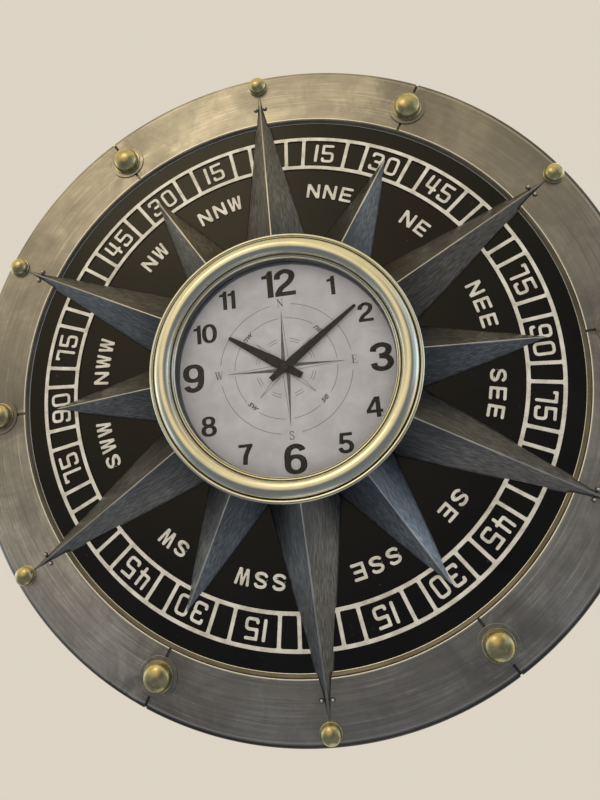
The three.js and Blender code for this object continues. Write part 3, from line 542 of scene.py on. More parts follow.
def pewter():
    """Brushed round the clock's axis, with patina, scratches and a worn inner edge."""
    material, place = surface("pewter", metallic=0.95)
    streaks = around(place, 420, 4, 6, 0.6)
    fine = around(place, 1000, 6, 3, 0.6)
    patches = noise(place, 7, 5, 0.6, 0.6)
    clouds = noise(stretched(place, 1, 1, 0), 23, 5, 0.68, 0.7)
    tone = ramp(
        streaks, (0.3, (0.38, 0.372, 0.356)), (0.5, (0.53, 0.518, 0.497)), (0.7, (0.69, 0.678, 0.65)),
    )
    tone = tinted(tone, (0.74, 0.73, 0.705), fine, 0.42, 0.66, 0, 0.55)
    tone = tinted(tone, (0.24, 0.233, 0.222), patches, 0.43, 0.62, 0, 0.66)
    tone = tinted(tone, (0.22, 0.215, 0.207), clouds, 0.42, 0.62, 0.4, 0)
    scratches = spread(around(place, 520, 3, 2, 0.5), 0.6, 0.68)
    worn = maths("MULTIPLY", scratches, spread(clouds, 0.42, 0.56, 0.1, 0.6))
    tone = mixed(worn, tone, (0.82, 0.81, 0.78))
    tone = tinted(tone, (0.6, 0.588, 0.562), around(place, 70, 4, 4, 0.6), 0.5, 0.75, 0, 0.35)
    shade, by_seam = sector_shades(place)
    tone = mixed(shade, tone, (0.18, 0.175, 0.168))
    blotches = spread(clouds, 0.38, 0.6, 0.8, 0.2)
    tone = mixed(maths("MULTIPLY", by_seam, blotches), tone, (0.16, 0.156, 0.15))
    # Painted light along the bend: a pale line as painted highlight and a dark edge as painted shade,
    # strongest low on the right
    r = radius_in(place)
    x, y, _ = axes(place)
    painted_light_low_right = spread(maths("SUBTRACT", x, y), -0.35, 0.1, 0.2, 1)
    line = spread(distance(r, (RIM_R - 6.6) * MM), 0.3 * MM, 1.1 * MM, 0.5, 0)
    tone = mixed(maths("MULTIPLY", painted_light_low_right, line), tone, (0.66, 0.64, 0.6))
    outer = spread(r, (RIM_R - 5.6) * MM, (RIM_R - 3.6) * MM, 0, 0.9)
    tone = mixed(maths("MULTIPLY", painted_light_low_right, outer), tone, (0.04, 0.041, 0.043))
    inner = LIP_R * MM
    tone = tinted(tone, (0.92, 0.94, 0.88), r, inner + 1.3 * MM, inner + 2.1 * MM, 0.9, 0)
    return brushed(material, tone, streaks, patches, fine, (0.3, 0.4), (0.00018, 0.00008))


def bronze():
    """Dark brown metal, rubbed bright along its inner edge."""
    material, place = surface("bronze", metallic=0.95)
    streaks = around(place, 500, 6, 5, 0.6)
    tone = ramp(streaks, (0.3, (0.092, 0.086, 0.081)), (0.7, (0.172, 0.161, 0.155)))
    tone = tinted(tone, (0.04, 0.036, 0.027), noise(place, 16, 4, 0.6), 0.4, 0.65, 0, 0.5)
    r, inner = radius_in(place), LEDGE_R * MM
    tone = tinted(tone, (0.86, 0.89, 0.86), r, inner + 0.3 * MM, inner + 0.6 * MM, 0.8, 0)
    return wire(material, tone, (streaks, 0.22, 0.38), bump(streaks, 0.0001, 0.3))


def plate_paint():
    """Black paint with a low sheen and a faint dusty mottle."""
    material, place = surface("plate_paint", Specular_IOR_Level=0.3)
    mottle = noise(place, 14, 5, 0.6)
    tone = ramp(mottle, (0.3, (0.0008, 0.0009, 0.0011)), (0.7, (0.0022, 0.0023, 0.0024)))
    tone = tinted(tone, (0.07, 0.066, 0.06), noise(place, 160, 2, 0.5), 0.73, 0.79, 0, 0.4)
    relief = bump(noise(place, 900, 3, 0.6), 0.00005, 0.3)
    return wire(material, tone, (mottle, 0.24, 0.32), relief)


def cream_paint():
    """Old cream-silver paint, a little uneven, with painted shade on the sides of what is raised."""
    material, place = surface("cream_paint", metallic=0.25)
    mottle = noise(place, 60, 5, 0.6)
    grain = noise(place, 700, 3, 0.6)
    tone = ramp(
        mottle, (0.3, (0.47, 0.435, 0.355)), (0.5, (0.67, 0.636, 0.545)), (0.7, (0.81, 0.785, 0.71)),
    )
    tone = tinted(tone, (0.42, 0.38, 0.3), grain, 0.45, 0.75, 0, 0.4)
    # Painted shade: the sides of raised pieces, facing away from the front, are darkened
    facing = axes(place.node.outputs["Normal"])[2]
    tone = tinted(tone, (0.12, 0.105, 0.08), facing, 0.2, 0.85, 0.85, 0)
    return wire(material, tone, (grain, 0.38, 0.58), bump(mottle, 0.0004, 0.5))


# Painted light on each short ray: its metal made lighter or darker than the long ones' to stand in for
# the reflections it catches, clockwise from the top
SHORT_RAY_PAINTED_LIGHT = [
    (0.72, 0.7, 0.67), (1.25, 1.24, 1.2), (1.55, 1.68, 1.84),
    (1.5, 1.56, 1.6), (1.45, 1.45, 1.45), (0.95, 0.89, 0.8),
]


def ray_metal(name, painted_light=(1, 1, 1)):
    """Dark gunmetal brushed along the ray, with painted shade by the drum, a pale ridge that is partly
    wear and partly painted highlight, and a painted shadow at its feet.
    """
    material, place = surface(name, metallic=1.0)
    streaks = drawn(place, 800, 3.5, 5, 0.55)
    fine = drawn(place, 1500, 6, 3, 0.55)
    patches = drawn(place, 26, 9, 4, 0.6, 0.3)
    tone = ramp(
        streaks, (0.32, (0.09, 0.093, 0.098)), (0.5, (0.17, 0.175, 0.182)), (0.68, (0.3, 0.307, 0.318)),
    )
    tone = tinted(tone, (0.29, 0.297, 0.305), fine, 0.5, 0.75, 0, 0.35)
    tone = tinted(tone, (0.09, 0.094, 0.099), patches, 0.42, 0.66, 0, 0.5)
    # Painted light: each short ray's metal lightened or darkened as a whole
    tone = mixed(1.0, tone, painted_light, "MULTIPLY")
    side, out, height = axes(place)
    # Painted shade: darker towards the drum, where the bezel shades the rays
    tone = tinted(tone, (0.035, 0.037, 0.04), out, DRUM_R * MM, (DRUM_R + 60) * MM, 0.5, 0)
    # Painted shadow: dark along the foot of each face, just above the plate or rim that the ray stands
    # on
    on_rim = maths("GREATER_THAN", out, LEDGE_R * MM)
    seat = maths("MULTIPLY", on_rim, -PLATE_FRONT * MM)
    above = maths("SUBTRACT", height, maths("ADD", seat, PLATE_FRONT * MM))
    tone = tinted(tone, (0.012, 0.012, 0.013), above, 0.5 * MM, 2.6 * MM, 0.88, 0)
    # Pale line along the ridge, fading towards the tip: wear, and a painted highlight
    wander = spread(drawn(place, 120, 14, 4, 0.6), 0.35, 0.65, -0.3 * MM, 0.3 * MM)
    off_ridge = maths("SUBTRACT", maths("ABSOLUTE", side), wander)
    to_tip = spread(out, 230 * MM, 340 * MM, 0.95, 0.3)
    worn = maths("MULTIPLY", spread(off_ridge, 0.6 * MM, 1 * MM, 1, 0), to_tip)
    tone = mixed(worn, tone, (0.68, 0.68, 0.66))
    return brushed(material, tone, streaks, patches, fine, (0.27, 0.36), (0.00015, 0.00006))


def antique_brass():
    """Greenish gold studs, rubbed silver in places."""
    stops = [(0.3, (0.36, 0.32, 0.17)), (0.52, (0.52, 0.475, 0.27)), (0.72, (0.66, 0.62, 0.41))]
    cloud, grain = (90, 4, 0.55, 0.4), (900, 3, 0.6)
    return mottled("antique_brass", cloud, stops, (0.2, 0.3), (0.00003, 0.4), grain, metallic=0.96)


def champagne():
    """Satin silver, warm in colour, rubbed round the axis, with painted shade in its grooves and on its
    inner wall.
    """
    material, place = surface("champagne", metallic=1.0)
    streaks = around(place, 2600, 6, 3, 0.55)
    patches = noise(place, 22, 5, 0.6, 0.4)
    tone = ramp(
        streaks, (0.3, (0.66, 0.67, 0.585)), (0.55, (0.735, 0.748, 0.655)), (0.75, (0.79, 0.803, 0.715)),
    )
    tone = tinted(tone, (0.45, 0.455, 0.39), patches, 0.5, 0.7, 0, 0.35)
    r = radius_in(place)
    # Painted shade: dark lines in the bezel's grooves
    for inset, half in ((5.2, 0.5), (24.6, 0.6), (27.1, 0.35)):
        off = distance(r, (BEZEL_R - inset) * MM)
        tone = tinted(tone, (0.12, 0.105, 0.07), off, half * 0.3 * MM, half * 1.6 * MM, 0.85, 0)
    # Painted shade: the inner wall over the glass is dark blue-grey and duller
    wall = spread(r, (BEZEL_R - 28.9) * MM, (BEZEL_R - 28.7) * MM, 0.9, 0)
    tone = mixed(wall, tone, (0.1, 0.108, 0.125))
    rough = maths("ADD", spread(patches, 0.35, 0.7, 0.18, 0.28), maths("MULTIPLY", wall, 0.5))
    return wire(material, tone, rough, bump(streaks, 0.00002, 0.3))


def sleeve_metal():
    """Blue-grey satin metal inside the bezel, dark as painted shade of the bezel's inner wall."""
    material, place = surface("sleeve_metal", metallic=0.9)
    streaks = around(place, 900, 4, 4, 0.6)
    tone = ramp(streaks, (0.3, (0.11, 0.12, 0.135)), (0.7, (0.19, 0.2, 0.215)))
    return wire(material, tone, (streaks, 0.3, 0.42), bump(streaks, 0.00005, 0.3))


def plated_steel():
    """Grey plating, faintly drawn up and down."""
    material, place = surface("plated_steel", metallic=0.9)
    cloud = noise(place, 45, 5, 0.6)
    tone = ramp(cloud, (0.3, (0.38, 0.38, 0.37)), (0.7, (0.62, 0.62, 0.6)))
    return wire(material, tone, (cloud, 0.3, 0.48), bump(drawn(place, 900, 60, 3, 0.6), 0.0001, 0.4))


def brass():
    stops = [(0.3, (0.48, 0.33, 0.12)), (0.7, (0.72, 0.54, 0.25))]
    return mottled("brass", (300, 4, 0.6), stops, (0.2, 0.36), (0.00005, 0.3), metallic=0.95)


def clear_glass():
    """Thin clear pane: see-through face on, reflecting at a slant, with a trace of dust."""
    material, place = surface("clear_glass")
    tree = material.node_tree
    facing = node("LayerWeight", {"Blend": 0.5}, tree).outputs["Facing"]
    edge = maths("MULTIPLY_ADD", maths("POWER", facing, 5), 0.9, 0.012)
    see = node("BsdfTransparent", {"Color": (0.99, 0.995, 0.99, 1)}, tree).outputs[0]
    gloss = node("BsdfGlossy", {"Roughness": 0.03}, tree).outputs[0]
    film = node("BsdfDiffuse", {"Color": (0.7, 0.68, 0.64, 1)}, tree).outputs[0]
    pane = node("MixShader", {0: edge, 1: see, 2: gloss}).outputs[0]
    haze = spread(noise(place, 90, 6, 0.65), 0.45, 0.8, 0.0, 0.006)
    whole = node("MixShader", {0: haze, 1: pane, 2: film}).outputs[0]
    tree.links.new(whole, tree.nodes["Material Output"].inputs["Surface"])
    tree.nodes.remove(tree.nodes["Principled BSDF"])
    return material


def dial_paper():
    """Printed paper with a cloudy lilac-grey ground."""
    material, place = surface("dial_paper", roughness=0.75)
    cloud = noise(place, 38, 6, 0.62, 0.4)
    tone = ramp(
        cloud, (0.3, (0.4, 0.373, 0.382)), (0.5, (0.46, 0.434, 0.442)), (0.7, (0.52, 0.496, 0.498)),
    )
    tone = tinted(tone, (0.41, 0.385, 0.402), noise(place, 130, 5, 0.65), 0.5, 0.75, 0, 0.3)
    relief = bump(noise(place, 1500, 2, 0.5), 0.00005, 0.3)
    return wire(material, tone, (cloud, 0.68, 0.82), relief)


def ink(name, dark, light):
    """Printing ink that lets a little of the paper's mottle through."""
    stops = [(0.35, dark), (0.7, light)]
    return mottled(name, (260, 5, 0.6), stops, (0.5, 0.65), Specular_IOR_Level=0.2)


def gloss_black():
    stops = [(0.3, (0.004, 0.0048, 0.008)), (0.7, (0.012, 0.0135, 0.02))]
    return mottled(
        "gloss_black", (90, 4, 0.6), stops, (0.16, 0.26), (0.00004, 0.2),
        Specular_IOR_Level=0.12, Coat_Weight=0.02, Coat_Roughness=0.08,
    )


def moulded(name, dark, light, rough=0.5, grain_scale=900):
    """Moulded plastic, nylon or rubber with a fine grain."""
    material, place = surface(name)
    grain = noise(place, grain_scale, 3, 0.6)
    tone = ramp(noise(place, 60, 4, 0.6), (0.3, dark), (0.7, light))
    return wire(material, tone, (grain, rough - 0.08, rough + 0.1), bump(grain, 0.0001, 0.4))


def coil_wire():
    """Copper wire, wound in fine turns."""
    material, place = surface("coil_wire", metallic=0.8, roughness=0.35)
    turns = node(
        "TexWave", {"Vector": place, "Scale": 700, "Distortion": 0.4},
        wave_type="BANDS", bands_direction="X",
    ).outputs["Fac"]
    tone = ramp(turns, (0.2, (0.16, 0.05, 0.02)), (0.8, (0.6, 0.26, 0.12)))
    return wire(material, tone, spread(turns, 0, 1, 0.45, 0.25), bump(turns, 0.0003, 0.6))


PEWTER = pewter()
BRONZE = bronze()
PLATE = plate_paint()
CREAM = cream_paint()
RAY = ray_metal("ray_metal")
SHORT_RAYS = [ray_metal(f"short_ray_painted_light_metal_{i + 1}", painted_light) for i, painted_light in enumerate(SHORT_RAY_PAINTED_LIGHT)]
STUD = antique_brass()
CHAMPAGNE = champagne()
SHADED_SLEEVE = sleeve_metal()
STEEL = plated_steel()
BRASS = brass()
GLASS = clear_glass()
PAPER = dial_paper()
INK = ink("numeral_ink", (0.004, 0.0046, 0.0072), (0.012, 0.013, 0.018))
ROSE_INK = ink("rose_ink", (0.06, 0.058, 0.066), (0.13, 0.126, 0.137))
HAND_BLACK = gloss_black()
PLASTIC = moulded("black_plastic", (0.012, 0.012, 0.013), (0.024, 0.024, 0.026))
RUBBER = moulded("rubber", (0.009, 0.009, 0.009), (0.02, 0.019, 0.018), 0.8, 600)
NYLON = moulded("nylon", (0.66, 0.64, 0.58), (0.78, 0.76, 0.71), 0.45)
JACKET = moulded("battery_jacket", (0.02, 0.055, 0.12), (0.035, 0.085, 0.17), 0.35)
BOARD = moulded("board_green", (0.01, 0.075, 0.03), (0.02, 0.12, 0.05))
COPPER = coil_wire()


# Rim, ledge, plate and scale

SEAM = 3
RIM_CORNER = 5.4


def bend(depth, steps, back):
    """Round of the rim's outer edge, that deep inside it, and then straight back."""
    r, x = RIM_CORNER - depth, RIM_R - RIM_CORNER
    turns = [math.radians(90 * k / steps) for k in range(steps + 1)]
    return [(x + r * math.sin(a), r * math.cos(a) - RIM_CORNER) for a in turns] + [(x + r, back)]


def rim_profile():
    """Sheet with a small round on its inner edge and its outer edge turned back."""
    sheet, back, edge = 1.2, -18, 0.9
    inner = LIP_R + 0.3
    return [
        (inner, -sheet), (inner, -edge), (inner + 0.12, -0.45), (inner + 0.45, -0.12),
        (inner + edge, 0), (inner + 3, 0), (RIM_R - RIM_CORNER - 3, 0),
        *bend(0, 8, back), *reversed(bend(sheet, 8, back)),
    ]


def strap_profile():
    """Dark strap behind each seam, a hair inside the two sheets that it joins: painted shade, where only
    the shadow behind the slit shows.
    """
    under, sheet, back = 1.35, 0.8, -16
    return [
        (RIM_R - 20, -under), *bend(under, 6, back),
        *reversed(bend(under + sheet, 6, back)), (RIM_R - 20, -under - sheet),
    ]


def ledge_profile():
    back = back_of("ledge_ring")
    top = back + 0.8
    lip = -0.2
    return [
        (LEDGE_R + 0.1, back), (PLATE_R, back), (PLATE_R, top), (LIP_R, top),
        (LIP_R, lip - 0.2), (LIP_R - 0.15, lip), (LIP_R - 0.9, lip),
        (LIP_R - 1.6, lip - 0.25), (LIP_R - 2.8, lip - 0.9),
        (LEDGE_R + 0.9, back + 0.75), (LEDGE_R + 0.3, back + 0.5), (LEDGE_R, back + 0.2),
    ]


# How far clockwise each number's cell stands from its even place, in degrees
SCALE_SHIFTS = [
    0.7, -0.1, 0.3, 0.5, 0.7, 0.5, 0.5, 0.4, 0.2, 0.2, 0.3, 0.4,
    -0.1, -0.9, -0.6, -0.4, -0.1, 0, 0.1, 0.4, 0.4, 0.5, 0.8, 1.1,
]
CELL = 360 / len(SCALE_SHIFTS)


def cell_middle(i):
    return i * CELL + SCALE_SHIFTS[i % len(SCALE_SHIFTS)]


def scale_loops():
    """Two circles joined by bars: a wide cell at each number and a narrow one between."""
    line, bar, width, corner = 4.6, 4.5, 43.2, 1.6
    # Half a cell in degrees: at the top and the foot, and elsewhere
    upright, half = 4.5, 5.3
    near, far = SCALE_R - width + line, SCALE_R - line

    def half_bar(r):
        return math.degrees(math.asin(bar / 2 / r))

    def edges(i):
        reach = upright if i % 12 == 0 else half
        return cell_middle(i) - reach, cell_middle(i) + reach

    def cell(start, end, steps):
        outer = arc(far, start + half_bar(far), end - half_bar(far), steps)
        inner = arc(near, end - half_bar(near), start + half_bar(near), steps)
        corners = [(x, y, 0) for x, y in outer + inner]
        for k in (0, steps, steps + 1, 2 * steps + 1):
            corners[k] = (*corners[k][:2], corner)
        return rounded(corners, 3)

    loops = [circle(SCALE_R, sides=240), circle(SCALE_R - width, sides=240)]
    for i in range(len(SCALE_SHIFTS)):
        loops.append(cell(*edges(i), 8))
        loops.append(cell(edges(i)[1], edges(i + 1)[0], 5))
    return loops


# Raised numbers and letters. Corners are (x, y, radius). S is the width of a stroke and END the round
# of its ends. W and H are the width and height of most numbers, RIGHT and TOP where their right and
# top strokes begin, and CAP is the height of the letters.

S = 3.6
W = 15.6
H = 24
RIGHT = W - S
TOP = H - S
END = 1.7
CAP = 18.9
ROUND_END = 6
NUMBER_LOOPS = {
    "0": (W, [
        [(0, 0, 5.4), (W, 0, 5.4), (W, H, 5.4), (0, H, 5.4)],
        [(S, S, 2), (RIGHT, S, 2), (RIGHT, TOP, 2), (S, TOP, 2)],
    ]),
    "1": (4.6, [[(0.3, 0, END), (4.3, 0, END), (4.3, H, END), (0.3, H, END)]]),
    "3": (W, [[
        (0, H, 4.8), (W, H, 4.8), (W, 13.4, 2.4), (14.6, 12, 0.5), (W, 10.6, 2.4),
        (W, 0, 4.8), (0, 0, 4.8), (0, 7, END), (S, 7, END), (S, S, 1.6), (RIGHT, S, 1.6),
        (RIGHT, 10.2, 1.6), (4.8, 10.2, END), (4.8, 13.8, END), (RIGHT, 13.8, 1.6),
        (RIGHT, TOP, 1.6), (S, TOP, 1.6), (S, H - 7, END), (0, H - 7, END),
    ]]),
    "4": (14.6, [[
        (0, H, END), (S, H, END), (S, 9.8, 0.8), (8.6, 9.8, 0.8), (8.6, H, END), (12.3, H, END),
        (12.3, 9.8, 0.8), (15, 9.8, END), (15, 6.2, END), (12.3, 6.2, 0.8), (12.3, 0, END),
        (8.6, 0, END), (8.6, 6.2, 0.8), (0, 6.2, 2.8),
    ]]),
    "5": (W, [[
        (0, H, 1.4), (15, H, END), (15, TOP, END), (S, TOP, 1), (S, 14.5, 1),
        (W, 14.5, 4.8), (W, 0, 4.8), (0, 0, 4.8), (0, 6.8, END), (S, 6.8, END), (S, S, 1.6),
        (RIGHT, S, 1.6), (RIGHT, 10.9, 1.6), (0, 10.9, 1.4),
    ]]),
    "7": (13.6, [[
        (0, H, 1.6), (13.6, H, 1.6), (13.6, 0, END), (13.6 - S, 0, END), (13.6 - S, TOP, 1),
        (S, TOP, 0.8), (S, TOP - 2.2, 1.5), (0, TOP - 2.2, 1.5),
    ]]),
    "9": (W, [
        [
            (0, H, 5), (W, H, 5), (W, 0, 5), (0, 0, 5), (0, 6.8, END), (S, 6.8, END),
            (S, S, 1.6), (RIGHT, S, 1.6), (RIGHT, 9.6, 1), (0, 9.6, 4.8),
        ],
        [(S, 13.2, 1.8), (RIGHT, 13.2, 1.8), (RIGHT, TOP, 2), (S, TOP, 2)],
    ]),
}
S_LINE = [
    (13.6, 14.4), (11.8, 16.2), (8.2, 16.8), (4.4, 16), (2.6, 13.4), (4.3, 10.9), (8, 9.5),
    (11.8, 8), (13.6, 5.4), (11.8, 2.9), (8, 2.1), (4.4, 2.7), (2.3, 4.4),
]
LETTER_LOOPS = {
    "N": (16, [[
        (0, 0, 1.5), (0, CAP, 1.5), (3.9, CAP, 1.2), (12.4, 6.4, 0.4), (12.4, CAP, 1.5),
        (16, CAP, 1.5), (16, 0, 1.5), (12.1, 0, 1.2), (3.6, 12.5, 0.4), (3.6, 0, 1.5),
    ]]),
    "E": (15, [[
        (0, 0, 1.3), (0, CAP, 1.3), (15, CAP, END), (15, CAP - S, END), (S, CAP - S, 0.5),
        (S, 11.2, 0.5), (13.8, 11.2, END), (13.8, 7.6, END), (S, 7.6, 0.5), (S, S, 0.5),
        (15, S, END), (15, 0, END),
    ]]),
    "W": (17.6, [[
        (0, CAP, 1.4), (3.7, CAP, 1.3), (5.2, 5.4, 0.3), (7.1, CAP, 1.2), (10.5, CAP, 1.2),
        (12.4, 5.4, 0.3), (13.9, CAP, 1.3), (17.6, CAP, 1.4), (14.7, 0, 1.3), (10.9, 0, 1.3),
        (8.8, 11.2, 0.3), (6.7, 0, 1.3), (2.9, 0, 1.3),
    ]]),
}


def glyph(character):
    """Width and outline of a raised number or letter."""
    if character == "S":
        return 16, [ribbon(smooth(S_LINE, 4), S, ROUND_END)]
    width, loops = {**NUMBER_LOOPS, **LETTER_LOOPS}[character]
    return width, [rounded(loop) for loop in loops]


ON_PLATE = PLATE_FRONT + 0.02
RAISED = 1.4
GLYPH_EDGE = 0.5
NUMBERS_R = 284.6
LETTERS_R = 233.3
LETTER_PITCH = 5.05
NUMBERS = ["", "15", "30", "45", "", "75", "90", "75", "", "45", "30", "15"]
# Angles of the letters' middles
LABELS = {
    "NNE": 18.4, "NE": 46.2, "NEE": 77.8, "SEE": 103.7, "SE": 136.7, "SSE": 162.7,
    "SSW": 194.5, "SW": 221.2, "SWW": 256.8, "NWW": 282.5, "NW": 318.8, "NNW": 343.7,
}


def raised(character, angle, r, height, x=0):
    """Number or letter standing on the plate, upright at that angle of the dial."""
    width, loops = glyph(character)
    upright = [moved(loop, -width / 2, -height / 2) for loop in loops]
    mesh = flat(upright, ON_PLATE, ON_PLATE + RAISED, GLYPH_EDGE)
    mesh.transform(Matrix.Translation(Vector((x, r, 0)) * MM))
    mesh.transform(Matrix.Rotation(-math.radians(angle), 4, "Z"))
    return mesh


def make_face():
    for i, node_name in enumerate(numbered("rim_segment")):
        mesh = sector(rim_profile(), STEP / 2, SEAM)
        mesh.transform(Matrix.Rotation(-math.radians(i * STEP), 4, "Z"))
        piece(node_name + "_sheet", mesh, PEWTER, node=node_name, sharp=40)
        # Painted shade: a dark sheet behind each seam's slit
        strap = sector(strap_profile(), half_angle=2, slit=0.1, steps=6)
        piece(f"seam_strap_{i + 1}", strap, PLASTIC, (i + 0.5) * STEP)
    ledge = turned(ledge_profile(), 240)
    piece("ledge_ring_lip", ledge, BRONZE, node="ledge_ring")
    scale_edge, gap = 0.45, 4.4
    scale = flat(scale_loops(), back_of("scale_ring"), front_of("scale_ring"), scale_edge)
    piece("scale_frame", scale, CREAM, node="scale_ring")
    for i in range(len(SCALE_SHIFTS)):
        text = NUMBERS[i % 12]
        if not text:
            continue
        text_width = sum(glyph(c)[0] for c in text) + gap * (len(text) - 1)
        start = -text_width / 2
        shapes = []
        for c in text:
            shapes.append(raised(c, cell_middle(i), NUMBERS_R, H, start + glyph(c)[0] / 2))
            start += glyph(c)[0] + gap
        piece(f"number_{round(i * CELL):03d}", joined(shapes), CREAM)
    for text, angle in LABELS.items():
        shapes = []
        for k, c in enumerate(text):
            own = angle + (k - (len(text) - 1) / 2) * LETTER_PITCH
            shapes.append(raised(c, own, LETTERS_R, CAP))
        piece(f"letters_{text.lower()}", joined(shapes), CREAM)


# Studs

def dome(base_r, base, top, steps=12):
    turns = [math.radians(90 * k / steps) for k in range(steps)]
    return [(base_r * math.cos(a), base + (top - base) * math.sin(a)) for a in turns] + [(0, top)]


def stud_profile(collar, dome_r, base, top, seat):
    """Dome over a narrow collar, with a dark line between them."""
    profile = [
        (0, seat), (collar - 0.3, seat), (collar, seat + 0.3), (collar, seat + 0.9),
        (collar - 0.35, seat + 1.25), (dome_r - 0.1, seat + 1.3), (dome_r - 0.5, seat + 0.9),
        (dome_r - 0.45, seat + 1.1), (dome_r - 0.1, seat + 1.9),
    ]
    return profile + dome(dome_r, base, top)


def tail_profile(r):
    """Riveted end of a stud's shank, behind the plate."""
    top = PLATE_BACK - SEAT_GAP
    return [(0, top), (r, top), (r, top - 1), (r - 0.5, top - 1.7), (r - 1.4, top - 2), (0, top - 2)]


SMALL_SEAT = [(0, 0.3), (11.8, 0.3), (12, 0.45), (12, 0.6), (11.8, 0.75), (0, 0.75)]
BIG_SEAT = [(0, 0.3), (21.7, 0.3), (22, 0.5), (22, 0.9), (21.6, 1.2), (0, 1.2)]


def make_stud(name, circle_r, angle, profile, tail_r, seat, sides):
    at = (*dial(circle_r, angle), 0)
    shape = joined([turned(profile, sides), turned(tail_profile(tail_r), 32)])
    piece(name + "_dome", shape, STUD, angle, at, node=name)
    disc = turned(seat, sides, *at[:2])
    piece(name + "_seat", disc, PEWTER, node=name)


def make_studs():
    small = stud_profile(collar=11.9, dome_r=11.2, base=3.4, top=11.4, seat=0.75)
    big = stud_profile(collar=17.2, dome_r=15.9, base=4.8, top=15, seat=1.2)
    for i in range(SEGMENTS):
        make_stud(f"small_stud_{i + 1}", SMALL_STUD_R, i * STEP, small, 4.2, SMALL_SEAT, 48)
        make_stud(f"large_stud_{i + 1}", BIG_STUD_R, (i + 0.5) * STEP, big, 5.5, BIG_SEAT, 64)


# Rays, each with two small screws beside a long one's tip, and a dark disc under each screw as painted
# shadow

SCREW_R = 352.8
SCREW_SIDE = 5.9
# Dark disc under each screw: painted shadow
SCREW_SHADOW_DISC = [(0, 0.05), (2.6, 0.05), (2.8, 0.3), (2.6, 0.8), (0, 0.8)]
SCREW = [(0, 0.85), (1.9, 0.85), (1.9, 1.6), (1.5, 2.4), (0.8, 2.8), (0, 2.9)]
# The tip's sections, as radius, half width and height
TIP_ROWS = [(349, 3.2, 1.5), (357, 2.5, 1.9), (363, 1.7, 1.9), (366.5, 1.1, 1.7), (372.6, 0.8, 1.3)]


def tip_spike():
    """Narrow end of a long ray, flat on the rim between the screws and the stud."""
    foot, edge, crown = 0.35, 0.9, 0.45
    rows = []
    for r, half, rise in TIP_ROWS:
        outline = [(half, foot), (half, edge), (half * crown, rise)]
        outline = [(-x, h) for x, h in outline] + outline[::-1]
        rows.append([(x, r, h) for x, h in outline])
    return lofted(rows)


def make_ray(name, angle, metal, tip=None):
    mesh = softened(name, edge=0.25, place=placed(angle), ridge=1.1)
    if tip:
        mesh = joined([mesh, tip])
    piece(name + "_sheet", mesh, metal, angle, node=name, sharp=30)


def make_rays():
    for i in range(SEGMENTS):
        make_ray(f"long_ray_{i + 1}", i * STEP, RAY, tip_spike())
        make_ray(f"short_ray_{i + 1}", (i + 0.5) * STEP, SHORT_RAYS[i])
        for kind, profile, material, slot in (
            ("shadow_discs", SCREW_SHADOW_DISC, PLASTIC, "black_plastic"), ("screws", SCREW, STEEL, "plated_steel"),
        ):
            pair = [turned(profile, 20, side * SCREW_SIDE, SCREW_R) for side in (-1, 1)]
            piece(f"tip_{kind}_{i + 1}", joined(pair), material, i * STEP)


# The clock in the middle

def bezel_profile():
    """Outer bead, groove, broad roll, double fine ridge and the edge over the glass."""
    bead = smooth([(1, 0), (0.35, 4.6), (0, 7.8), (0.5, 9.6), (2.2, 10.7), (3.9, 10.2), (4.8, 8.9)])
    roll = smooth([
        (5.2, 8.2), (5.6, 9.6), (6.6, 11.5), (8.4, 13.3), (10.8, 14.8), (13.6, 15.7), (16.8, 15.7),
        (19, 15.2), (21, 14.3), (22.6, 12.9), (23.7, 10.8), (24.3, 8.6),
    ])
    ridges = [
        (24.6, 8), (24.9, 8.4), (25.5, 8.7), (26.1, 8.5), (26.7, 7.9), (27.1, 7.3),
        (27.4, 7.5), (27.9, 7.5), (28.4, 7.1), (28.8, 6.3), (29, 5.4), (29, -1.8),
    ]
    under = [
        (25.4, -1.8), (24.9, 3), (23, 7.8), (20.6, 12.2), (15, 14.2), (10.5, 12.8), (7, 9.4),
        (4.9, 5.6), (4.4, 0),
    ]
    outline = bead + roll + ridges + under
    return [(BEZEL_R - inset, BEZEL_SEAT + rise) for inset, rise in outline]


def drum_profile():
    """Cup with a flange for the bezel, a ledge for the dial and a round access hole."""
    low, high = back_of("clock_drum"), front_of("clock_drum")
    sheet, access, shelf, rim_r = 1.1, 62, 11, DRUM_R + DRUM_FLANGE
    inner = DRUM_R - sheet
    ledge = back_of("dial_face") - SEAT_GAP
    return [
        (access, low), (DRUM_R - 0.6, low), (DRUM_R, low + 0.6),
        (DRUM_R, high - sheet - 0.8), (DRUM_R + 0.8, high - sheet), (rim_r - 0.3, high - sheet),
        (rim_r, high - sheet + 0.3), (rim_r, high - 0.3), (rim_r - 0.3, high), (inner, high),
        (inner, ledge), (inner - shelf, ledge), (inner - shelf, ledge - sheet), (inner, ledge - sheet),
        (inner, low + sheet), (access, low + sheet),
    ]


def pane_profile(r, back, front, edge=0.3):
    return [
        (0, back), (r - edge, back), (r, back + edge), (r, front - edge), (r - edge, front), (0, front),
    ]


def ring_profile(inner, outer, back, front, edge):
    return [
        (inner, back), (outer, back), (outer, front - edge), (outer - edge, front),
        (inner + edge, front), (inner, front - edge),
    ]


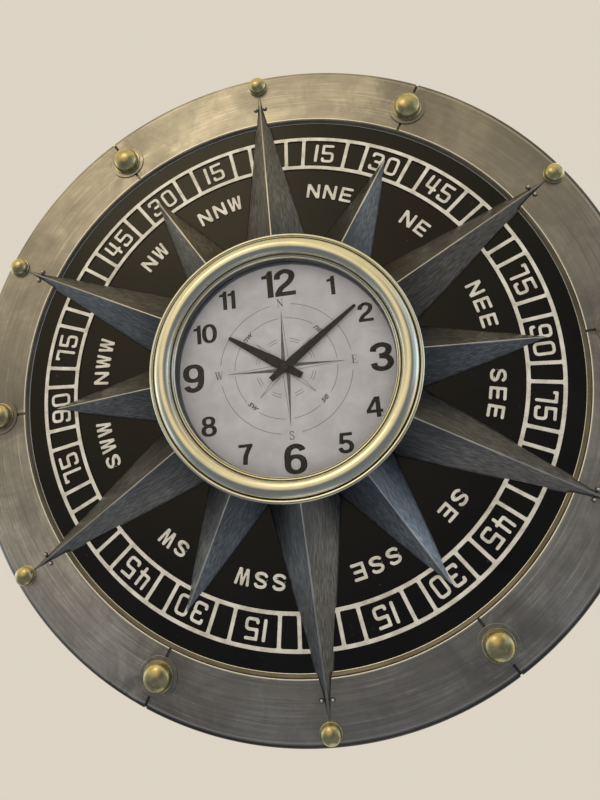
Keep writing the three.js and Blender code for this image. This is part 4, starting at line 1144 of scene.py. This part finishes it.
def make_clock():
    shaft_hole = 4.12
    bezel = turned(bezel_profile(), 240)
    drum = turned(drum_profile(), 180)
    pane = turned(pane_profile(GLASS_R, back_of("glass"), front_of("glass")))
    sight = turned(ring_profile(
        SIGHT_R, radius_of("sight_ring"), back_of("sight_ring"), front_of("sight_ring"), edge=0.2,
    ))
    paper = turned(ring_profile(shaft_hole, DIAL_R, back_of("dial_face"), DIAL_FRONT, edge=0.05))
    piece("bezel_ring", bezel, CHAMPAGNE, node="bezel")
    piece("drum_shell", drum, STEEL, node="clock_drum")
    piece("glass_pane", pane, GLASS, node="glass")
    # The sight ring's sleeve is painted dark as shade
    piece("sight_ring_sleeve", sight, SHADED_SLEEVE, node="sight_ring")
    piece("dial_paper_disc", paper, PAPER, node="dial_face")


# Print on the dial, which was laid a little clockwise

PRINT_BACK = DIAL_FRONT + 0.005
PRINT_FRONT = DIAL_FRONT + 0.045
DIAL_TURN = 1.2
# Middles of the numerals, across and up from the dial's own
NUMERAL_PLACES = {
    12: (2.3, 100.3), 1: (61.4, 87.5), 2: (95.6, 50), 3: (106.2, -3.6), 4: (90.8, -57.9),
    5: (55.2, -92.4), 6: (-0.6, -102.3), 7: (-54.2, -90.6), 8: (-93.1, -54.2), 9: (-106, 3),
    10: (-88.4, 53.3), 11: (-59, 89.7),
}
NUMERAL_HEIGHT = 22.4
QUARTER_HEIGHT = 32.5
NUMERAL_GAP = 0.05
NUMERAL_WIDTH = 1.32
INK_WIDTH = 0.165


def oval(x, y, wide, high, side, top, sides=40):
    """Ring a little squarer than an ellipse, with strokes of those widths."""
    def loop(a, b):
        outline = []
        for k in range(sides):
            c, s = math.cos(2 * math.pi * k / sides), math.sin(2 * math.pi * k / sides)
            c, s = (math.copysign(abs(v) ** 0.88, v) for v in (c, s))
            outline.append((x + a * c, y + b * s))
        return outline
    return [loop(wide, high), loop(wide - side, high - top)]


def box(x0, y0, x1, y1):
    return [(x0, y0), (x1, y0), (x1, y1), (x0, y1)]


def curved(points, width=INK_WIDTH):
    return [ribbon(smooth(points, 6), width)]


SIX = [
    oval(0.3, 0.32, 0.29, 0.33, 0.17, 0.145),
    curved([(0.5, 0.76), (0.45, 0.87), (0.32, 0.925), (0.17, 0.85), (0.105, 0.65), (0.095, 0.35)]),
]
NUMERALS = {
    "0": [oval(0.3, 0.5, 0.3, 0.51, 0.17, 0.15)],
    "1": [[[(0.28, 0), (0.44, 0), (0.44, 1), (0.32, 1), (0.29, 0.91), (0.24, 0.86), (0.14, 0.835),
            (0.14, 0.715), (0.28, 0.72)]]],
    "2": [
        curved([(0.1, 0.64), (0.13, 0.81), (0.3, 0.92), (0.47, 0.84), (0.5, 0.69), (0.41, 0.5),
                (0.2, 0.3), (0.11, 0.12), (0.105, 0.06)]),
        [box(0.02, 0, 0.58, 0.155)],
    ],
    "3": [
        curved([(0.09, 0.7), (0.13, 0.84), (0.3, 0.92), (0.46, 0.85), (0.49, 0.72), (0.42, 0.58),
                (0.24, 0.53)]),
        curved([(0.24, 0.53), (0.44, 0.47), (0.51, 0.29), (0.43, 0.13), (0.28, 0.08), (0.12, 0.15),
                (0.08, 0.3)]),
    ],
    "4": [
        [box(0.36, 0, 0.53, 1)], [box(0.01, 0.22, 0.61, 0.375)],
        [[(0.01, 0.36), (0.33, 1), (0.45, 1), (0.36, 0.76), (0.16, 0.36)]],
    ],
    "5": [
        [box(0.12, 0.845, 0.55, 1)],
        [[(0.1, 1), (0.25, 1), (0.21, 0.62), (0.19, 0.51), (0.05, 0.46)]],
        curved([(0.12, 0.5), (0.28, 0.585), (0.44, 0.5), (0.5, 0.33), (0.43, 0.14), (0.28, 0.08),
                (0.13, 0.14), (0.075, 0.29)]),
    ],
    "6": SIX,
    "7": [
        [box(0.03, 0.845, 0.57, 1)],
        [ribbon(smooth([(0.49, 0.92), (0.37, 0.66), (0.28, 0.36), (0.25, 0)]), 0.18)],
    ],
    "8": [oval(0.3, 0.745, 0.26, 0.262, 0.16, 0.13), oval(0.3, 0.282, 0.3, 0.292, 0.175, 0.14)],
    "9": [[[(0.6 - x, 1 - y) for x, y in loop] for loop in shape] for shape in SIX],
}
THIN = 0.055
SERIFS = {
    "N": [
        [ribbon([(0.06, 0.98), (0.64, 0.02)], 0.15)], [box(0.09, 0, 0.14, 0.95)],
        [box(0.6, 0.02, 0.65, 1)], [box(0, 0, 0.24, THIN)], [box(0, 0.95, 0.16, 1)],
        [box(0.5, 0.95, 0.75, 1)],
    ],
    "E": [
        [box(0.1, 0, 0.24, 1)], [box(0, 0.95, 0.6, 1)], [box(0, 0, 0.64, THIN)],
        [box(0.2, 0.48, 0.46, 0.53)], [box(0.55, 0.76, 0.6, 1)], [box(0.59, 0, 0.64, 0.25)],
        [box(0.42, 0.38, 0.46, 0.63)],
    ],
    "S": [
        curved([(0.5, 0.74), (0.44, 0.91), (0.27, 0.96), (0.12, 0.88), (0.1, 0.73), (0.22, 0.58),
                (0.42, 0.45), (0.52, 0.28), (0.46, 0.1), (0.28, 0.04), (0.13, 0.09), (0.06, 0.28)], 0.1),
        [box(0.48, 0.7, 0.53, 1)], [box(0.04, 0, 0.09, 0.3)],
    ],
    "W": [
        [ribbon([(0.1, 1), (0.32, 0.02)], 0.13)], [ribbon([(0.33, 0.02), (0.5, 0.98)], 0.05)],
        [ribbon([(0.44, 0.98), (0.68, 0.02)], 0.13)], [ribbon([(0.69, 0.02), (0.88, 0.98)], 0.05)],
        [box(0, 0.95, 0.24, 1)], [box(0.36, 0.95, 0.58, 1)], [box(0.76, 0.95, 0.98, 1)],
    ],
}


def set_type(text, alphabet, height, x, y, stretch=1.0):
    """Printed characters side by side, centred on a point."""
    shapes, start = [], 0
    for character in text:
        across = [px for shape in alphabet[character] for loop in shape for px, _ in loop]
        left, right = min(across), max(across)
        shapes += [
            [[((px - left) * stretch + start, py - 0.5) for px, py in loop] for loop in shape]
            for shape in alphabet[character]
        ]
        start += (right - left) * stretch + NUMERAL_GAP
    middle = (start - NUMERAL_GAP) / 2
    sized = [
        [[((px - middle) * height + x, py * height + y) for px, py in loop] for loop in shape]
        for shape in shapes
    ]
    return printed(sized)


def make_numerals():
    turn_back = Matrix.Rotation(math.radians(DIAL_TURN), 2)
    for hour, place in NUMERAL_PLACES.items():
        x, y = turn_back @ Vector(place)
        height = QUARTER_HEIGHT if hour % 3 == 0 else NUMERAL_HEIGHT
        mesh = set_type(str(hour), NUMERALS, height, x, y, NUMERAL_WIDTH)
        piece(f"numeral_{hour:02d}", mesh, INK, DIAL_TURN)


QUARTERS = (0, 90, 180, 270)
ROSE_LINE = 0.55
ROSE_R = 74.7
ROSE_INNER_R = 58
MAIN_R, MAIN_HEIGHT = 76.5, 9.5
SIDE_R, SIDE_HEIGHT = 56.5, 5.4


def rose_arcs():
    """Arcs of (radius, start, end, steps): two broken circles, and pairs round the centre."""
    arcs = []
    for quarter in QUARTERS:
        arcs.append((ROSE_R, quarter + 9, quarter + 81, 24))
        arcs.append((ROSE_INNER_R, quarter + 4, quarter + 36, 12))
        arcs.append((ROSE_INNER_R, quarter + 54, quarter + 86, 12))
        for side in (-1, 1):
            arcs += [(r, quarter + side * 14, quarter + side * 32, 6) for r in (31, 34)]
    return arcs


def rose_points():
    """Four long points, filled on one side and lined on the other, and four outlined short ones."""
    filled = [(0, 66), (-4.4, 9), (0, 3)]
    lined = [(0, 66), (3.8, 9), (0, 3)]
    minor = [(0, 44), (-2.6, 15), (0, 6), (2.6, 15), (0, 44)]
    line, thin = 0.5, 0.45
    shapes = []
    for turn in QUARTERS:
        shapes.append(moved(filled, angle=turn))
        shapes.append(moved(ribbon(lined, line), angle=turn))
        shapes += [moved(ribbon(side, thin), angle=turn + 45) for side in zip(minor, minor[1:])]
    return shapes


def make_print():
    make_numerals()
    arcs = [ribbon(arc(*place), ROSE_LINE, ROUND_END) for place in rose_arcs()]
    words = []
    for text, angle in zip("NESW", QUARTERS):
        words.append(set_type(text, SERIFS, MAIN_HEIGHT, *dial(MAIN_R, angle)))
    for text, angle, lean in (("ne", 45, 45), ("se", 135, -45), ("sw", 225, 45), ("nw", 315, -45)):
        words.append(italic(text, SIDE_HEIGHT, *dial(SIDE_R, angle), lean))
    for name, mesh in (
        ("rose_circles", printed([[loop] for loop in arcs])),
        ("rose_points", printed([[loop] for loop in rose_points()])),
        ("rose_letters", joined(words)),
    ):
        piece(name, mesh, ROSE_INK, DIAL_TURN)


# Hands, cap and the pieces behind

HOUR_ANGLE = 305.5
MINUTE_ANGLE = 55.4
CAP_BORE = 1.62


def hand_loops(length, tail, width, tip_r, tail_width, hole_r):
    """Outline that tapers both ways from its widest place, and the hole for the shaft."""
    widest = 13
    turns = [math.pi * k / 10 for k in range(11)]
    tip = [(tip_r * math.cos(a), length - tip_r + tip_r * math.sin(a)) for a in turns]
    sides = [
        (-width / 2, widest), (-tail_width / 2, -tail), (tail_width / 2, -tail), (width / 2, widest),
    ]
    return [tip + sides, circle(hole_r, sides=40)]


def make_hands():
    for kind, angle, loops in (
        ("hour", HOUR_ANGLE, hand_loops(75, 21, 12, 2.2, 7.4, 2.41)),
        ("minute", MINUTE_ANGLE, hand_loops(104, 21.5, 10.4, 1.8, 6.4, CAP_BORE)),
    ):
        name, body = kind + "_hand", kind + "_work"
        mesh = flat(loops, back_of(name), front_of(name), 0.15)
        piece(name + "_blade", mesh, HAND_BLACK, angle, body=body, node=name)
    back, top = back_of("hand_cap"), front_of("hand_cap")
    depth = 1.12
    cap = turned([
        (0, back + depth), (CAP_BORE, back + depth), (CAP_BORE, back), (4.2, back), (4.2, back + 0.7),
        (3.9, back + 1.1), (3.3, back + 1.4), (2.5, top - 0.05), (1.2, top), (0, top),
    ], 40)
    piece("hand_cap_button", cap, HAND_BLACK, body="minute_work", node="hand_cap")


def bumper_profile():
    top = PLATE_BACK - SEAT_GAP
    back = back_of("wall_bumper_left")
    return [
        (0, back), (6.4, back), (7.2, back + 0.4), (8.8, back + 2.8), (9, back + 3.4),
        (9, top - 0.4), (8.6, top), (0, top),
    ]


def battery_profile(r, half):
    """From the flat end, over the crimped shoulder, to the button at the other end."""
    return [
        (0, -half), (r - 1.2, -half), (r - 0.4, -half + 0.3), (r, -half + 0.9),
        (r, half - 2.1), (r - 0.4, half - 1.5), (r - 1.2, half - 1.2), (2.7, half - 1.2),
        (2.7, half - 0.4), (2.4, half), (0, half),
    ]


def rounded_solid(name, kind, edge, material, body="clock"):
    """Piece with its solid's own shape, but for rounded edges."""
    piece(f"{name}_{kind}", softened(name, edge), material, body=body, node=name)


BUMPER_R = RIM_R - 100


def make_back():
    rounded_solid("hanger", "strap", 0.3, STEEL)
    for side, angle in (("left", 210), ("right", 150)):
        at = (*dial(BUMPER_R, angle), 0)
        name = f"wall_bumper_{side}"
        piece(name + "_pad", turned(bumper_profile(), 40), RUBBER, 0, at, node=name)
    for part in ("case", "cover"):
        rounded_solid(f"movement_{part}", "shell", 0.3, PLASTIC)
    for pole in ("minus", "plus"):
        rounded_solid(f"battery_contact_{pole}", "strip", 0.08, STEEL)
    low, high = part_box("battery")
    centre = CLOCK.inverted() @ ((low + high) / 2) / MM
    shape = turned(battery_profile((high.z - low.z) / 2 / MM, (high.x - low.x) / 2 / MM), 40)
    shape.transform(Matrix.Rotation(math.pi / 2, 4, "Y"))
    piece("battery_cell", shape, JACKET, 0, centre, node="battery")
    rounded_solid("setting_knob", "wheel", 0.12, NYLON, "knob")


def dress_nodes():
    """Finishes for the CAD nodes that stay."""
    finishes = {
        "dial_plate": PLATE, "movement_gasket": RUBBER, "hex_nut": BRASS, "drive_coil": COPPER,
        "circuit_board": BOARD, "minute_shaft": BRASS, "motion_wheel": NYLON, "hour_wheel": NYLON,
    }
    for name, material in finishes.items():
        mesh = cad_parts[name].data
        mesh.materials.clear()
        mesh.materials.append(material)


# Stage, lamps and camera

BACKDROP = (0.72, 0.655, 0.56)
FLOOR_DROP = 2.8
FLOOR_R = 0.95


def make_floor():
    bm = bmesh.new()
    bmesh.ops.create_circle(bm, cap_ends=True, radius=FLOOR_R, segments=96)
    floor = bpy.data.objects.new("floor", finished(bm))
    floor.location = (0, 0, rim_bottom - FLOOR_DROP)
    bpy.context.scene.collection.objects.link(floor)
    material, place = surface("floor_paint", roughness=0.8)
    tone = ramp(noise(place, 3, 4, 0.6), (0.3, (0.66, 0.605, 0.525)), (0.7, (0.69, 0.635, 0.55)))
    floor.data.materials.append(wire(material, tone))


# Towards the warm lamps in front of the clock, above it and a little to the left
GLOW_WAY = (-0.2, -0.9, 0.387)


def reflected(way):
    """What gloss sees of the studio that way: a dim front under warm lamps, and bright sides."""
    x, y, z = axes(way)
    slope = maths("SUBTRACT", z, maths("MULTIPLY", x, 0.2))
    front = ramp(
        spread(slope, -1, 1), (0.0, (0.2, 0.235, 0.28)), (0.08, (0.19, 0.222, 0.262)),
        (0.16, (0.17, 0.158, 0.13)), (0.27, (0.155, 0.175, 0.205)), (0.38, (0.125, 0.137, 0.165)),
        (0.44, (0.165, 0.175, 0.2)), (0.5, (0.185, 0.19, 0.195)), (0.64, (0.2, 0.185, 0.155)),
        (0.75, (0.62, 0.5, 0.29)), (0.82, (0.92, 0.74, 0.42)),
    )
    near = node("VectorMath", {0: way, 1: GLOW_WAY}, operation="DOT_PRODUCT").outputs["Value"]
    glow = maths("POWER", spread(near, 0.86, 0.99), 1.5)
    front = mixed(glow, front, (1.08, 0.88, 0.55))
    level = spread(z, -0.6, 0.6)
    right = ramp(
        level, (0.08, (0.34, 0.28, 0.19)), (0.33, (1.2, 1.03, 0.76)),
        (0.62, (1.28, 1.44, 1.6)), (0.9, (0.46, 0.38, 0.24)),
    )
    by_wall = ramp(
        level, (0.33, (1.2, 1.03, 0.76)), (0.62, (1.3, 1.5, 1.7)), (0.95, (1.2, 1.45, 1.75)),
    )
    left = ramp(
        level, (0.22, (0.36, 0.38, 0.4)), (0.4, (1.0, 1.15, 1.26)), (0.5, (1.12, 1.06, 0.92)),
        (0.64, (1.8, 1.88, 1.84)), (0.9, (1.3, 1.1, 0.82)),
    )
    right = mixed(spread(y, 0.0, 0.1), right, by_wall)
    sides = mixed(maths("GREATER_THAN", x, 0), left, right)
    wall = tinted(BACKDROP, (1.05, 0.88, 0.6), z, 0.3, 0.8)
    seen = mixed(spread(y, 0.1, 0.5), front, wall)
    sideways = spread(maths("ABSOLUTE", x), 0.5, 0.95, 0, 0.95)
    sideways = maths("MULTIPLY", sideways, spread(y, -0.4, -0.02, 0.12, 1))
    return mixed(sideways, seen, sides)


def make_world():
    """The backdrop for the camera, a soft pale light on the object, and the studio in its gloss."""
    world = bpy.data.worlds.new("studio")
    bpy.context.scene.world = world
    world.use_nodes = True
    tree = world.node_tree
    path = node("LightPath", tree=tree).outputs
    sharp = maths("MAXIMUM", path["Is Glossy Ray"], path["Is Transmission Ray"])
    seen = reflected(node("TexCoord", tree=tree).outputs["Generated"])
    lit = mixed(sharp, (0.95, 0.93, 0.92), seen)
    final = mixed(path["Is Camera Ray"], lit, BACKDROP)
    tree.links.new(final, tree.nodes["Background"].inputs["Color"])
    tree.nodes["Background"].inputs["Strength"].default_value = 1


def lamp(name, place, aim, width, height, colour, power):
    data = bpy.data.lights.new(name, "AREA")
    data.shape = "RECTANGLE"
    data.size = width
    data.size_y = height
    data.color = colour
    data.energy = power
    made = bpy.data.objects.new(name, data)
    bpy.context.scene.collection.objects.link(made)
    made.location = place
    made.rotation_mode = "QUATERNION"
    made.rotation_quaternion = (Vector(aim) - Vector(place)).to_track_quat("-Z", "Y")


def make_lamps():
    middle = (0, RIM_FRONT_Y, CENTRE_Z)
    lamp("key", (-0.62, -1.75, 1.3), middle, 1.0, 0.9, (1.0, 0.82, 0.5), 4)
    lamp("fill", (1.9, -0.9, 0.5), middle, 1.7, 1.8, (0.68, 0.83, 1.0), 3.2)
    lamp("rear", (0.8, 1.8, 1.1), middle, 1.6, 1.6, (1.0, 0.96, 0.9), 14)


# Where the photograph was taken from: in front of the clock's foot, a little to its right
CAMERA_PLACE = (0.0923, -0.7167, -0.4248)
CAMERA_AZIMUTH = -6.93
CAMERA_ELEVATION = 12.31
CAMERA_ROLL = -6.6
CAMERA_LENS = 28.1155
CAMERA_SENSOR = 36


def make_camera():
    data = bpy.data.cameras.new("camera")
    data.lens = CAMERA_LENS
    data.sensor_width = CAMERA_SENSOR
    data.clip_start = 0.01
    camera = bpy.data.objects.new("camera", data)
    bpy.context.scene.collection.objects.link(camera)
    camera.matrix_world = (
        Matrix.Translation(CAMERA_PLACE)
        @ Matrix.Rotation(-math.radians(CAMERA_AZIMUTH), 4, "Z")
        @ Matrix.Rotation(math.radians(90 + CAMERA_ELEVATION), 4, "X")
        @ Matrix.Rotation(math.radians(CAMERA_ROLL), 4, "Z")
    )
    bpy.context.scene.camera = camera
    bpy.context.scene.view_settings.view_transform = "Standard"


make_camera()
make_face()
make_studs()
make_rays()
make_clock()
make_print()
make_hands()
make_back()
dress_nodes()
make_floor()
make_world()
make_lamps()
